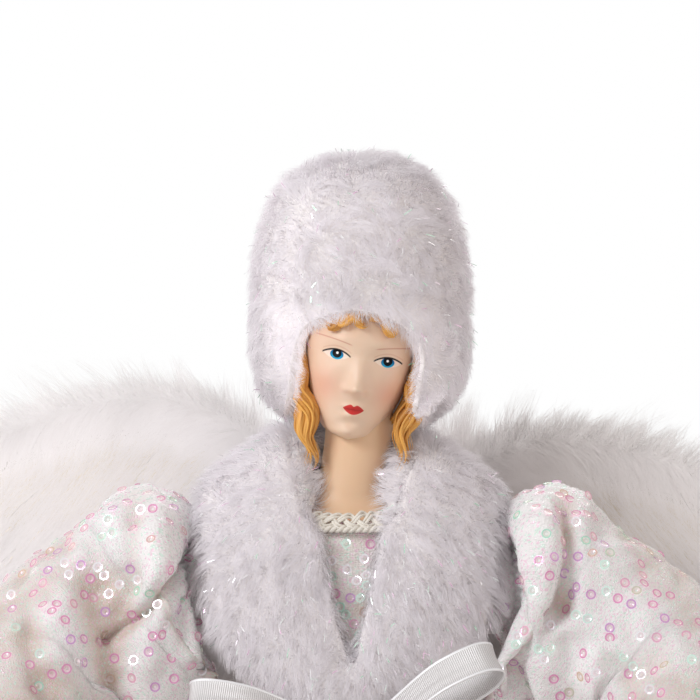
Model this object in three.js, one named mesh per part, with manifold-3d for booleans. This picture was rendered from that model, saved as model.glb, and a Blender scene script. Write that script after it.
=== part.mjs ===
// Angel tree topper of the 400 mm class: a gowned figure in a fur hat and stole, with feather wings,
// standing on a hollow cone that slips over the tip of a tree.
// Millimetres, +Z up. The figure faces -Y. The origin is the centre of the base.
// Left and right are the figure's own, so left is +X.
import * as THREE from "three";
import { mergeVertices } from "three/addons/utils/BufferGeometryUtils.js";
import Module from "manifold-3d";

const wasm = await Module();
wasm.setup();

// Driving dimensions, in millimetres and degrees

// Fits and cloth
const GAP = 0.3; // between pieces that touch
const RUNNING = 0.35; // radial clearance of a turning fit
const CLOTH = 0.9; // gown cloth with its lining

// Support cone and the peg that carries the figure on it
const CONE_HEIGHT = 206;
const CONE_BASE_RADIUS = 66;
const CONE_TOP_RADIUS = 17;
const CONE_WALL = 1.6;
const CONE_FLANGE = 4;
const CONE_FLANGE_HEIGHT = 2;
const PEG_LENGTH = 12;

// Heights of the figure, stacked from the top of the cone
const WAIST_RISE = 10;
const TORSO_LENGTH = 67;
const NECK_RISE = 59.5; // shoulder seat to eye level
const NECKLINE_RISE = 12.5; // shoulder seat to the edge of the gown
const ARM_DROP = 8; // shoulder seat down to the arm axis

// Body half widths, front depths and back depths
const WAIST = [20.5, 17.6, 17.2];
const RIBS = [22.5, 18.4, 17.2];
const CHEST = [26.5, 22, 18];
const ARMPIT = [30, 19.5, 18];
const SHOULDER = [33, 16.5, 17];
const NECK_RADIUS = 9.6;
const NECK_IN_HEAD = 4;

// Head: outer sizes, place over the neck and lean
const HEAD_HEIGHT = 48;
const HEAD_WIDTH = 31.2;
const HEAD_FRONT = 18;
const HEAD_BACK = 20;
const HEAD_ASIDE = 2.6;
const HEAD_ROLL = 8;
const HEAD_NOD = 3;

// Hair
const HAIR = 1.8; // thickness of the wig cap
const HAIRLINE_RISE = 8.8; // above eye level, at the brow
const NAPE_DROP = 9; // below eye level, at the back
const LOCK_RADIUS = 3.1;
const LOCK_LENGTH = 34;
const LOCK_ASIDE = [16.6, 13.6, 12.4]; // from the middle of the head, on the way down
const LOCK_TURNS = 2;
const FRINGE_CURLS = 6;
const FRINGE_RADIUS = 2.5;

// Fur hat: a tall hood that frames the face
const HAT_WIDTH = 64;
const HAT_DEPTH = 60;
const HAT_RISE = 57.5; // eye level to the crown
const HAT_DROP = 21.5; // eye level down to the flaps
const HAT_ASIDE = 3;
const HAT_BACKSET = 4;
const HAT_OPENING = 32;
const HAT_BROW = 11.5; // eye level up to the fur over the brow

// Fur stole: half of its neck edge and of its outer edge, from the middle of the back to the middle
// of the front, as [aside, forward, above the shoulder seat]
const STOLE_NECK_EDGE = [
  [0, -15, 40],
  [15, -8, 41],
  [13.5, 8, 32],
  [9.5, 18, 15],
  [7, 23.5, -3],
  [0, 27.5, -24],
];
const STOLE_OUTER_EDGE = [
  [0, -27, 10],
  [30, -21, 17],
  [45, -3, 19],
  [45, 14, 4],
  [41, 22.5, -20],
  [0, 31.5, -47],
];
const STOLE_THICKNESS = 12;

// Braid round the neckline
const BRAID_WIDTH = 5.6;
const BRAID_THICKNESS = 1.9;

// Waistband, skirt and petticoat
const WAISTBAND_WIDTH = 10;
const WAISTBAND_THICKNESS = 1.1;
const HEM_RADIUS = 95; // to the crest of a fold
const HEM_LIFT = 1.5;
const SKIRT_FOLDS = 14;
const SKIRT_FOLD_DEPTH = 13;
const SKIRT_BELL = 5; // how far the skirt swells past a straight cone
const PETTICOAT_CLEAR = 6; // inside the valleys of the skirt's folds at the hem
const PETTICOAT_LIFT = 7;
const PETTICOAT_TOP_DROP = 14; // below the top of the cone
const PETTICOAT_CLOTH = 1;

// Ribbon bow
const RIBBON_WIDTH = 10;
const RIBBON_THICKNESS = 0.7;
const BOW_DROP = 45; // shoulder seat down to the knot
const KNOT_WIDTH = 9;
const KNOT_HEIGHT = 9;
const KNOT_DEPTH = 7;
const LOOP_LENGTH = 41;
const LOOP_HEIGHT = 15;
const LOOP_ROOT_WIDTH = 5.5; // the ribbon gathered at the knot
const LOOP_ROOT_HEIGHT = 2.6;
const LOOP_LEAN = 60; // turns the face of the ribbon up to the front
const LOOP_FORWARD = 13; // brings the far end of a loop forward, clear of the fur
const LEFT_LOOP_RISE = 33;
const RIGHT_LOOP_RISE = 16;
const TAIL_LENGTH = 76;
const TAIL_SPREAD = 17;

// Arms: the sleeve's middle line, as [outward, forward, below the arm axis, radius]
const SLEEVE_LINE = [
  [51, 0, 0, 31],
  [61, 1, 4, 29],
  [74, 5, 12, 29],
  [88, 14, 24, 28],
  [94, 33, 38, 24],
  [87, 53, 48, 16],
];
const WRIST = [75, 67, 52]; // outward, forward and below the arm axis
const SLEEVE_NECK_RADIUS = 12.6;
const SLEEVE_NECK_LENGTH = 13;
const SLEEVE_FOLDS = 6;
const SLEEVE_FOLD_DEPTH = 3.6;
const SLEEVE_DEPTH_SHARE = 0.86; // front to back, against top to bottom
const ARM_RADIUS = 5;
const ARM_SOCKET_DEPTH = 12;
const WRIST_RADIUS = 4;
const CUFF_LENGTH = 5;
const CUFF_THICKNESS = 1.2;

// Hands
const PALM_LENGTH = 11;
const PALM_WIDTH = 9;
const PALM_THICKNESS = 4.4;
const FINGER_LENGTH = 9;
const FINGER_RADIUS = 1.25;

// Wing yoke on the back
const YOKE_WIDTH = 26;
const YOKE_HEIGHT = 30;
const YOKE_PLATE = 2;
const YOKE_DROP = 22; // shoulder seat down to the middle of the yoke
const YOKE_LUG = 4;
const YOKE_PIN_RADIUS = 1.4;
const YOKE_PIN_SPACING = 18;
const YOKE_STANDOFF = 16; // back of the gown to the pins

// Wings: each outline as [outward from the pin, above the middle of the yoke]
const WING_LEADING_EDGE = [
  [8, 20],
  [25, 45],
  [48, 53],
  [80, 47],
  [115, 30],
  [134, 10],
];
const WING_TRAILING_EDGE = [
  [128, -10],
  [108, -30],
  [80, -43],
  [52, -44],
  [26, -32],
  [10, -8],
];
const WING_BOARD = 2;
const WING_SWEEP = 6;
const LEFT_WING_LIFT = 1; // each wing is bent by hand, so the two differ
const RIGHT_WING_LIFT = 2;
const LEFT_WING_RISE = -9;
const RIGHT_WING_RISE = 2;
const KNUCKLE_RADIUS = 3.4;
const WING_WIRE_RADIUS = 1.1;
const MARABOU_RADIUS = 6.6;
const FEATHER_THICKNESS = 1.7;
const PRIMARY_COUNT = 9;
const PRIMARY_LENGTH = 74;
const PRIMARY_WIDTH = 21;
const PRIMARY_FIRST_ROOT = [24, 2];
const PRIMARY_LAST_ROOT = [92, 6];
const PRIMARY_ANGLES = [-97, -20];
const COVERT_COUNT = 8;
const COVERT_LENGTH = 50;
const COVERT_WIDTH = 24;
const COVERT_FIRST_ROOT = [22, 26];
const COVERT_LAST_ROOT = [92, 23];
const COVERT_ANGLES = [-94, -36];

// Heights that follow from the stack
const waistZ = CONE_HEIGHT + WAIST_RISE;
const shoulderZ = waistZ + TORSO_LENGTH;
const necklineZ = shoulderZ + NECKLINE_RISE;
const eyeZ = shoulderZ + NECK_RISE;
const armZ = shoulderZ - ARM_DROP;
const yokeZ = shoulderZ - YOKE_DROP;

// Small tools

const vec = (x, y, z) => new THREE.Vector3(x, y, z);
const rad = THREE.MathUtils.degToRad;
const lerp = THREE.MathUtils.lerp;
const ease = (t) => THREE.MathUtils.smoothstep(t, 0, 1);
const bell = (x, spread) => Math.exp(-((x / spread) ** 2));
const steps = (count, make) => Array.from({ length: count }, (_, i) => make(i));
const alongY = (x, forward, z) => vec(x, -forward, z); // forward is -Y

// Values that run smoothly through stations, each [place, value, value, ...]
function through(stations) {
  const width = stations[0].length - 1;
  const places = stations.map((s) => s[0]);
  const values = stations.flatMap((s) => s.slice(1));
  const spline = new THREE.CubicInterpolant(places, values, width);
  return (place) => Array.from(spline.evaluate(place));
}

// A closed body from points and triangles, with its faces turned out
function bodyOf(points, triangles) {
  let volume = 0;
  for (const [a, b, c] of triangles) volume += points[a].dot(points[b].clone().cross(points[c]));
  const turned = volume < 0 ? triangles.map(([a, b, c]) => [a, c, b]) : triangles;
  return new THREE.BufferGeometry().setFromPoints(points).setIndex(turned.flat());
}

// A skin over rings of equal count. An open run gets a fan at each end, a loop joins up with itself.
function skin(rings, loop = false) {
  const count = rings[0].length;
  const points = rings.flat();
  const triangles = [];
  const spans = loop ? rings.length : rings.length - 1;
  for (let i = 0; i < spans; i++) {
    const low = i * count;
    const high = ((i + 1) % rings.length) * count;
    for (let j = 0; j < count; j++) {
      const k = (j + 1) % count;
      triangles.push([low + j, low + k, high + k], [low + j, high + k, high + j]);
    }
  }
  if (!loop) {
    for (const [ring, last] of [[0, false], [rings.length - 1, true]]) {
      const middle = points.length;
      const sum = rings[ring].reduce((total, p) => total.add(p), vec(0, 0, 0));
      points.push(sum.divideScalar(count));
      for (let j = 0; j < count; j++) {
        const here = ring * count + j;
        const next = ring * count + ((j + 1) % count);
        triangles.push(last ? [middle, here, next] : [middle, next, here]);
      }
    }
  }
  return bodyOf(points, triangles);
}

// A tube open at both ends: outer rings one way and inner rings back again
const tube = (outer, inner) => skin([...outer, ...inner.slice().reverse()], true);

// A closed sheet. place(u, v, face) gives its outer face at 0 and its inner face at 1.
function sheet(place, columns, rows) {
  const points = [];
  for (const face of [0, 1]) {
    for (let j = 0; j <= rows; j++) {
      for (let i = 0; i <= columns; i++) points.push(place(i / columns, j / rows, face));
    }
  }
  const at = (face, i, j) => (face * (rows + 1) + j) * (columns + 1) + i;
  const triangles = [];
  const quad = (a, b, c, d) => triangles.push([a, b, c], [a, c, d]);
  for (let j = 0; j < rows; j++) {
    for (let i = 0; i < columns; i++) {
      quad(at(0, i, j), at(0, i + 1, j), at(0, i + 1, j + 1), at(0, i, j + 1));
      quad(at(1, i, j), at(1, i, j + 1), at(1, i + 1, j + 1), at(1, i + 1, j));
    }
    quad(at(0, 0, j), at(0, 0, j + 1), at(1, 0, j + 1), at(1, 0, j));
    quad(at(1, columns, j), at(1, columns, j + 1), at(0, columns, j + 1), at(0, columns, j));
  }
  for (let i = 0; i < columns; i++) {
    quad(at(1, i, 0), at(1, i + 1, 0), at(0, i + 1, 0), at(0, i, 0));
    quad(at(0, i, rows), at(0, i + 1, rows), at(1, i + 1, rows), at(1, i, rows));
  }
  return bodyOf(points, triangles);
}

// A ring of points, by angle
const ring = (count, place) => steps(count, (i) => place((2 * Math.PI * i) / count));

// Rings along a curve. section(t, angle) gives [sideways, upward] in the curve's own frame, where
// sideways is square to the curve and to the given upright.
function sweepRings(curve, upright, lengthSteps, sides, section, from = 0, to = 1) {
  return steps(lengthSteps + 1, (i) => {
    const t = lerp(from, to, i / lengthSteps);
    const middle = curve.getPoint(t);
    const along = curve.getTangent(t);
    const across = along.clone().cross(upright).normalize();
    const up = across.clone().cross(along);
    return ring(sides, (angle) => {
      const [a, b] = section(t, angle);
      return middle.clone().addScaledVector(across, a).addScaledVector(up, b);
    });
  });
}

const round = (radiusAt) => (t, angle) => [
  radiusAt(t) * Math.cos(angle),
  radiusAt(t) * Math.sin(angle),
];

// A turned body about Z from a profile of [radius, height]
function turned(profile, segments) {
  const points = profile.map(([r, z]) => new THREE.Vector2(r, z));
  return new THREE.LatheGeometry(points, segments).rotateX(Math.PI / 2);
}

// A round bar along X
const barAlongX = (radius, x0, x1, sides = 20) =>
  new THREE.CylinderGeometry(radius, radius, x1 - x0, sides)
    .rotateZ(Math.PI / 2)
    .translate((x0 + x1) / 2, 0, 0);

// Solids: three.js geometry to a manifold body and back

function toSolid(geometry) {
  const bare = new THREE.BufferGeometry();
  bare.setAttribute("position", geometry.getAttribute("position").clone());
  bare.setIndex(geometry.index);
  const merged = mergeVertices(bare, 1e-4);
  const flat = merged.index.array;
  const kept = [];
  for (let i = 0; i < flat.length; i += 3) {
    const [a, b, c] = [flat[i], flat[i + 1], flat[i + 2]];
    if (a !== b && b !== c && c !== a) kept.push(a, b, c);
  }
  return new wasm.Manifold(
    new wasm.Mesh({
      numProp: 3,
      vertProperties: merged.getAttribute("position").array,
      triVerts: new Uint32Array(kept),
    }),
  );
}

function toGeometry(solid) {
  const made = solid.getMesh();
  const geometry = new THREE.BufferGeometry();
  geometry.setAttribute("position", new THREE.BufferAttribute(made.vertProperties, 3));
  return geometry.setIndex(new THREE.BufferAttribute(made.triVerts, 1));
}

const largest = (solid) => solid.decompose().sort((a, b) => b.volume() - a.volume())[0];

const cut = (body, ...tools) =>
  toGeometry(largest(tools.reduce((left, tool) => left.subtract(toSolid(tool)), toSolid(body))));

const join = (...bodies) =>
  toGeometry(bodies.slice(1).reduce((sum, body) => sum.add(toSolid(body)), toSolid(bodies[0])));

// Base

const coneRadiusAt = (z) => lerp(CONE_BASE_RADIUS, CONE_TOP_RADIUS, z / CONE_HEIGHT);

function supportCone() {
  const foot = CONE_BASE_RADIUS + CONE_FLANGE;
  const profile = [
    [foot, 0],
    [foot, CONE_FLANGE_HEIGHT],
    [coneRadiusAt(CONE_FLANGE_HEIGHT), CONE_FLANGE_HEIGHT],
    [CONE_TOP_RADIUS, CONE_HEIGHT],
    [CONE_TOP_RADIUS - CONE_WALL, CONE_HEIGHT],
    [CONE_BASE_RADIUS - CONE_WALL, 0],
    [foot, 0],
  ];
  return turned(profile, 28);
}

function petticoat() {
  const hem = HEM_RADIUS - SKIRT_FOLD_DEPTH - PETTICOAT_CLEAR;
  const top = CONE_HEIGHT - PETTICOAT_TOP_DROP;
  const topRadius = coneRadiusAt(top) + GAP;
  const profile = [
    [hem, PETTICOAT_LIFT],
    [topRadius + PETTICOAT_CLOTH, top],
    [topRadius, top],
    [hem - PETTICOAT_CLOTH, PETTICOAT_LIFT],
    [hem, PETTICOAT_LIFT],
  ];
  return turned(profile, 28);
}

// Body: torso form, shoulder plate and neck share one outline

const neckTopZ = eyeZ - 0.42 * HEAD_HEIGHT;
const plateZ = (share) => lerp(shoulderZ, neckTopZ, share);
const neckward = (share) => [0, 1, 2].map((i) => lerp(NECK_RADIUS, SHOULDER[i], share));
const bodyAt = through([
  [waistZ, ...WAIST],
  [waistZ + 0.27 * TORSO_LENGTH, ...RIBS],
  [waistZ + 0.6 * TORSO_LENGTH, ...CHEST],
  [waistZ + 0.81 * TORSO_LENGTH, ...ARMPIT],
  [shoulderZ, ...SHOULDER],
  [plateZ(0.15), ...neckward(0.92)],
  [plateZ(0.28), ...neckward(0.69)],
  [plateZ(0.38), ...neckward(0.35)],
  [plateZ(0.46), ...neckward(0.12)],
  [plateZ(0.58), ...neckward(0.02)],
  [plateZ(0.8), ...neckward(0)],
  [neckTopZ, ...neckward(0)],
]);

// The neck leans aside to meet the head
const neckLean = (z) => HEAD_ASIDE * ease((z - plateZ(0.4)) / (neckTopZ - plateZ(0.4)));

// Every piece on the body shares these levels and this count, so that it follows the same facets
const BODY_SIDES = 24;
const bodyLevels = [
  ...steps(7, (i) => lerp(waistZ, shoulderZ, i / 7)),
  ...steps(11, (i) => lerp(shoulderZ, neckTopZ, i / 10)),
];

function bodyRing(z, grow) {
  const [width, front, back] = bodyAt(z);
  return ring(BODY_SIDES, (angle) => {
    const depth = Math.sin(angle) < 0 ? front : back;
    return vec(neckLean(z) + (width + grow) * Math.cos(angle), (depth + grow) * Math.sin(angle), z);
  });
}

function bodyRings(from, to, grow) {
  const between = bodyLevels.filter((z) => z > from + 0.6 && z < to - 0.6);
  return [from, ...between, to].map((z) => bodyRing(z, grow));
}

// The whole body as one solid grown by an offset, to seat soft pieces on it
const grownBody = (grow) => skin(bodyRings(waistZ, neckTopZ, grow));

const roundRing = (radius, z, count) =>
  ring(count, (angle) => vec(radius * Math.cos(angle), radius * Math.sin(angle), z));

// The arm socket reaches in from the torso's side
const torsoSideX = bodyAt(armZ)[0];
const socketX = torsoSideX - ARM_SOCKET_DEPTH;

function torsoForm() {
  const pegRadius = CONE_TOP_RADIUS - CONE_WALL - GAP;
  const form = skin([
    roundRing(pegRadius, CONE_HEIGHT - PEG_LENGTH, BODY_SIDES),
    roundRing(pegRadius, CONE_HEIGHT + GAP, BODY_SIDES),
    roundRing(CONE_TOP_RADIUS, CONE_HEIGHT + GAP, BODY_SIDES),
    ...bodyRings(waistZ, shoulderZ - GAP, 0),
  ]);
  const sockets = [-1, 1].map((side) => {
    const reach = [side * socketX, side * 2 * torsoSideX].sort((a, b) => a - b);
    return barAlongX(ARM_RADIUS + RUNNING, ...reach).translate(0, 0, armZ);
  });
  return cut(form, ...sockets);
}

const clothOuter = GAP + CLOTH; // the gown's outer face over the body

function bodice() {
  const rings = (grow) => bodyRings(waistZ, necklineZ, grow);
  const shell = tube(rings(clothOuter), rings(GAP));
  const reach = 2 * SHOULDER[0];
  const armhole = barAlongX(SLEEVE_NECK_RADIUS + GAP, -reach, reach).translate(0, 0, armZ);
  return cut(shell, armhole);
}

// The braid lies on the neckline, half over the gown's edge
function necklineBraid() {
  const low = necklineZ - BRAID_WIDTH / 2;
  const high = necklineZ + BRAID_WIDTH / 2;
  const inner = clothOuter + GAP;
  const rings = (grow) => bodyRings(low, high, grow);
  return tube(rings(inner + BRAID_THICKNESS), rings(inner));
}

function waistband() {
  const inner = clothOuter + GAP;
  const outline = (z, grow) => bodyRing(Math.max(z, waistZ), grow).map((p) => p.setZ(z));
  const levels = [-0.5, 0, 0.5].map((share) => waistZ + share * WAISTBAND_WIDTH);
  const rings = (grow) => levels.map((z) => outline(z, grow));
  return tube(rings(inner + WAISTBAND_THICKNESS), rings(inner));
}

// Skirt: two gathered panels that meet at the sides

const skirtTopZ = waistZ - GAP;
const skirtTucked = WAISTBAND_WIDTH / 2 / (skirtTopZ - HEM_LIFT); // the run held by the waistband

function skirtPoint(angle, drop, inset) {
  const [width, front, back] = WAIST;
  const depth = Math.sin(angle) < 0 ? front : back;
  const free = Math.max(0, (drop - skirtTucked) / (1 - skirtTucked));
  const crest = HEM_RADIUS - SKIRT_FOLD_DEPTH / 2;
  const swell = SKIRT_BELL * Math.sin(Math.PI * free);
  const fold = 0.5 * SKIRT_FOLD_DEPTH * free * Math.cos(SKIRT_FOLDS * angle);
  const reach = (half) => lerp(half + clothOuter, crest, free) + swell + fold - inset;
  return vec(
    reach(width) * Math.cos(angle),
    reach(depth) * Math.sin(angle),
    lerp(skirtTopZ, HEM_LIFT, drop),
  );
}

function skirtPanel(start) {
  const columns = 2 * SKIRT_FOLDS;
  const rows = 6;
  const seam = GAP / 2 / WAIST[0];
  const place = (u, v, face) => {
    const below = (v * rows - 1) / (rows - 1);
    const drop = below < 0 ? 0 : lerp(skirtTucked, 1, below);
    return skirtPoint(start + lerp(seam, Math.PI - seam, u), drop, face * CLOTH);
  };
  return sheet(place, columns, rows);
}

// Head

// Outline of the head from chin to crown: [share of the height above eye level, width, front, back]
// with the last three as shares of the half width, front and back at eye level
const headAt = through([
  [-0.5, 0.1, 0.62, -0.3],
  [-0.475, 0.38, 0.78, 0.06],
  [-0.41, 0.58, 0.88, 0.3],
  [-0.32, 0.75, 0.92, 0.5],
  [-0.23, 0.87, 0.95, 0.68],
  [-0.12, 0.96, 0.98, 0.88],
  [0, 1, 1, 1],
  [0.12, 1, 1, 1.01],
  [0.26, 0.92, 0.93, 0.93],
  [0.38, 0.74, 0.74, 0.74],
  [0.46, 0.48, 0.48, 0.48],
  [0.497, 0.12, 0.12, 0.12],
]);

// Relief of the face: [aside, above eye level, reach, spread aside, spread in height], in millimetres
// on a head of the design height. A negative reach is a hollow.
const FACE_DESIGN_HEIGHT = 48;
const FACE_RELIEF = [
  [7.2, 0.2, -1.5, 3.6, 2.2],
  [7.2, -0.3, 0.7, 2.4, 1.5],
  [6.5, 4.6, 0.5, 4, 1.6],
  [8.8, -6.5, 0.7, 4, 3.6],
  [0, -13.9, 0.9, 2.6, 0.9],
  [0, -16.2, 1, 2.2, 0.9],
  [0, -18.6, -0.7, 3, 1],
  [0, -21.2, 1, 3.2, 1.8],
];
const NOSE_LENGTH = 9.6;
const NOSE_REACH = 4;

function faceRelief(x, z) {
  const scale = HEAD_HEIGHT / FACE_DESIGN_HEIGHT;
  const [u, w] = [Math.abs(x) / scale, z / scale];
  let relief = 0;
  for (const [aside, height, reach, wide, tall] of FACE_RELIEF) {
    relief += reach * bell(u - aside, wide) * bell(w - height, tall);
  }
  const down = (1 - w) / NOSE_LENGTH; // 0 at the bridge, 1 at the tip
  const under = down > 1 ? bell(down - 1, 0.16) : 1;
  const ridge = down > 0 ? Math.min(down, 1) * under : 0;
  relief += NOSE_REACH * ridge * bell(u, 1.3 + 0.9 * ridge);
  return relief * scale;
}

// The head in its own frame, with eye level at the origin. Angles crowd together over the face.
const HEAD_SIDES = 20;

function headRings(levels, grow, withFace) {
  return steps(levels + 1, (i) => {
    const share = lerp(-0.497, 0.495, 0.5 - 0.5 * Math.cos((Math.PI * i) / levels));
    const [width, front, back] = headAt(share);
    const z = share * (HEAD_HEIGHT + 2 * grow);
    return ring(HEAD_SIDES, (angle) => {
      const turn = angle - 0.5 * Math.cos(angle); // crowds the points over the face
      const x = ((width * HEAD_WIDTH) / 2 + grow) * Math.cos(turn);
      const facing = Math.sin(turn) < 0;
      const depth = facing ? front * HEAD_FRONT : back * HEAD_BACK;
      let y = (depth + grow) * Math.sin(turn);
      if (withFace && facing) y += faceRelief(x, z) * Math.sin(turn);
      return vec(x, y, z);
    });
  });
}

const headFrame = new THREE.Matrix4()
  .makeTranslation(HEAD_ASIDE, 0, eyeZ)
  .multiply(new THREE.Matrix4().makeRotationY(rad(HEAD_ROLL)))
  .multiply(new THREE.Matrix4().makeRotationX(rad(HEAD_NOD)));

const grownSkull = (grow) => skin(headRings(14, grow, false)).applyMatrix4(headFrame);

function bustHead() {
  const head = skin(headRings(22, 0, true)).applyMatrix4(headFrame);
  const shoulders = skin([...bodyRings(shoulderZ, neckTopZ, 0), bodyRing(neckTopZ + NECK_IN_HEAD, 0)]);
  return join(shoulders, head);
}

// A row of short curls along the brow
function fringe(grow) {
  const curls = steps(FRINGE_CURLS, (i) => {
    const turn = lerp(-0.95, 0.95, i / (FRINGE_CURLS - 1));
    const swing = i % 2 ? 0.7 : -0.7;
    return new THREE.SphereGeometry(1, 8, 4)
      .scale(FRINGE_RADIUS * 1.45 + grow, FRINGE_RADIUS + grow, FRINGE_RADIUS * 0.8 + grow)
      .rotateZ(turn)
      .translate(
        (HEAD_WIDTH / 2) * 1.02 * Math.sin(turn),
        -HEAD_FRONT * 1.02 * Math.cos(turn),
        HAIRLINE_RISE + swing - 3.2 * turn * turn,
      );
  });
  return join(...curls).applyMatrix4(headFrame);
}

// The wig cap: a shell over the skull above the hairline, with the fringe along its front edge
function wigCap() {
  const shell = cut(grownSkull(GAP + HAIR), grownSkull(GAP));
  const reach = 4 * HEAD_HEIGHT;
  const slope = Math.atan2(HAIRLINE_RISE + NAPE_DROP, HEAD_FRONT + HEAD_BACK);
  const below = new THREE.BoxGeometry(reach, reach, reach)
    .translate(0, 0, -reach / 2)
    .rotateX(-slope)
    .translate(0, 0, HAIRLINE_RISE - HEAD_FRONT * Math.tan(slope))
    .applyMatrix4(headFrame);
  return cut(join(cut(shell, below), fringe(0)), grownSkull(GAP));
}

// A side lock: a tapering ringlet that hangs from under the hat beside the cheek
function hairLock(side, grow) {
  const top = vec(side * (HEAD_WIDTH / 2 + LOCK_RADIUS + 2 * GAP), -HEAD_FRONT * 0.35, 2);
  const line = new THREE.CatmullRomCurve3([
    top.applyMatrix4(headFrame),
    alongY(HEAD_ASIDE + side * LOCK_ASIDE[0], 8, eyeZ - 0.3 * LOCK_LENGTH),
    alongY(HEAD_ASIDE * 0.7 + side * LOCK_ASIDE[1], 9, eyeZ - 0.65 * LOCK_LENGTH),
    alongY(HEAD_ASIDE * 0.5 + side * LOCK_ASIDE[2], 9.5, eyeZ - LOCK_LENGTH),
  ]);
  const radiusAt = (t) => LOCK_RADIUS * (0.75 + 0.5 * t - 0.8 * t * t * t) + grow;
  const curl = (t, angle) => {
    const flute = 1 + 0.14 * Math.cos(2 * angle - 2 * Math.PI * LOCK_TURNS * t);
    return [radiusAt(t) * flute * Math.cos(angle), radiusAt(t) * flute * Math.sin(angle)];
  };
  return skin(sweepRings(line, vec(0, 1, 0), 11, 8, curl));
}

// Fur hat

// Outline of the hat from the flaps to the crown: [share of its height, share of its width]
const hatAt = through([
  [0, 0.56],
  [0.065, 0.8],
  [0.16, 0.94],
  [0.29, 1],
  [0.47, 1],
  [0.68, 0.955],
  [0.83, 0.835],
  [0.92, 0.68],
  [0.965, 0.5],
  [1, 0.2],
]);

function hatOuter(grow) {
  const levels = 11;
  const squareness = 0.84; // below 1 squares the rounded corners of the plan
  const bulge = (v) => Math.sign(v) * Math.abs(v) ** squareness;
  const rings = steps(levels + 1, (i) => {
    const share = 0.5 - 0.5 * Math.cos((Math.PI * i) / levels);
    const [width] = hatAt(share);
    const z = eyeZ + lerp(-HAT_DROP - grow, HAT_RISE + grow, share);
    return ring(24, (angle) =>
      vec(
        HAT_ASIDE + (width * (HAT_WIDTH / 2) + grow) * bulge(Math.cos(angle)),
        HAT_BACKSET + (width * (HAT_DEPTH / 2) + grow) * bulge(Math.sin(angle)),
        z,
      ),
    );
  });
  return skin(rings);
}

// The face opening: an arch cut from the front back to the ears
function faceOpening() {
  const half = HAT_OPENING / 2;
  const arch = new THREE.Shape();
  const spring = HAT_BROW - 0.62 * half;
  arch.moveTo(-half, -3 * HAT_DROP);
  arch.lineTo(half, -3 * HAT_DROP);
  arch.lineTo(half, spring);
  arch.absellipse(0, spring, half, HAT_BROW - spring, 0, Math.PI, false);
  const options = { depth: HAT_DEPTH, bevelEnabled: false, curveSegments: 10 };
  return new THREE.ExtrudeGeometry(arch, options).rotateX(Math.PI / 2).applyMatrix4(headFrame);
}

function furHat() {
  return cut(
    hatOuter(0),
    grownSkull(GAP + HAIR + GAP),
    faceOpening(),
    fringe(GAP),
    hairLock(1, GAP),
    hairLock(-1, GAP),
    grownBody(2 * GAP),
  );
}

// Fur stole: a padded collar that closes in a V over the chest

function stoleOuter() {
  const closed = (half) => {
    const left = half.map(([x, f, z]) => alongY(x, f, shoulderZ + z));
    const right = left.slice(1, -1).map((p) => vec(-p.x, p.y, p.z));
    return new THREE.CatmullRomCurve3([...left, ...right.reverse()], true);
  };
  const neckEdge = closed(STOLE_NECK_EDGE);
  const outerEdge = closed(STOLE_OUTER_EDGE);
  const lengthSteps = 36;
  const rings = steps(lengthSteps, (i) => {
    const t = i / lengthSteps;
    const inner = neckEdge.getPoint(t);
    const outer = outerEdge.getPoint(t);
    const along = neckEdge.getTangent(t).add(outerEdge.getTangent(t));
    const middle = inner.clone().add(outer).multiplyScalar(0.5);
    const across = outer.clone().sub(inner).multiplyScalar(0.5);
    const out = along.cross(across).normalize();
    return ring(10, (angle) => {
      const plump = Math.sign(Math.sin(angle)) * Math.abs(Math.sin(angle)) ** 0.8;
      return middle
        .clone()
        .addScaledVector(across, Math.cos(angle))
        .addScaledVector(out, 0.5 * STOLE_THICKNESS * plump);
    });
  });
  return skin(rings, true);
}

function furStole() {
  const braid = clothOuter + GAP + BRAID_THICKNESS + GAP;
  const low = necklineZ - BRAID_WIDTH / 2 - GAP;
  const high = necklineZ + BRAID_WIDTH / 2 + GAP;
  const reach = 2 * SHOULDER[0];
  const sleeveNeck = barAlongX(SLEEVE_NECK_RADIUS + 2 * GAP, -reach, reach).translate(0, 0, armZ);
  return cut(
    stoleOuter(),
    grownBody(clothOuter + GAP),
    skin(bodyRings(low, high, braid)),
    hatOuter(GAP),
    hairLock(1, GAP),
    hairLock(-1, GAP),
    sleeveNeck,
  );
}

// Ribbon bow, in the knot's own frame

// How far forward the stole's middle reaches at a drop below the shoulder seat
function stoleFront(drop) {
  const [, innerForward, innerZ] = STOLE_NECK_EDGE.at(-1);
  const [, outerForward, outerZ] = STOLE_OUTER_EDGE.at(-1);
  const share = THREE.MathUtils.clamp((drop + innerZ) / (innerZ - outerZ), 0, 1);
  const plump = (1 - (2 * share - 1) ** 2) ** 0.4;
  return lerp(innerForward, outerForward, share) + 0.5 * STOLE_THICKNESS * plump;
}

const knotForward = stoleFront(BOW_DROP) + GAP + 0.5 * KNOT_DEPTH;
const knotZ = shoulderZ - BOW_DROP;

function bowKnot() {
  const rings = [-0.5, -0.32, 0, 0.32, 0.5].map((share) => {
    const pinch = 1 - 1.1 * share * share;
    return ring(14, (angle) => {
      const c = Math.cos(angle);
      const s = Math.sin(angle);
      return vec(
        share * KNOT_WIDTH,
        0.5 * KNOT_DEPTH * pinch * Math.sign(c) * Math.abs(c) ** 0.75,
        0.5 * KNOT_HEIGHT * pinch * Math.sign(s) * Math.abs(s) ** 0.75,
      );
    });
  });
  return skin(rings);
}

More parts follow.
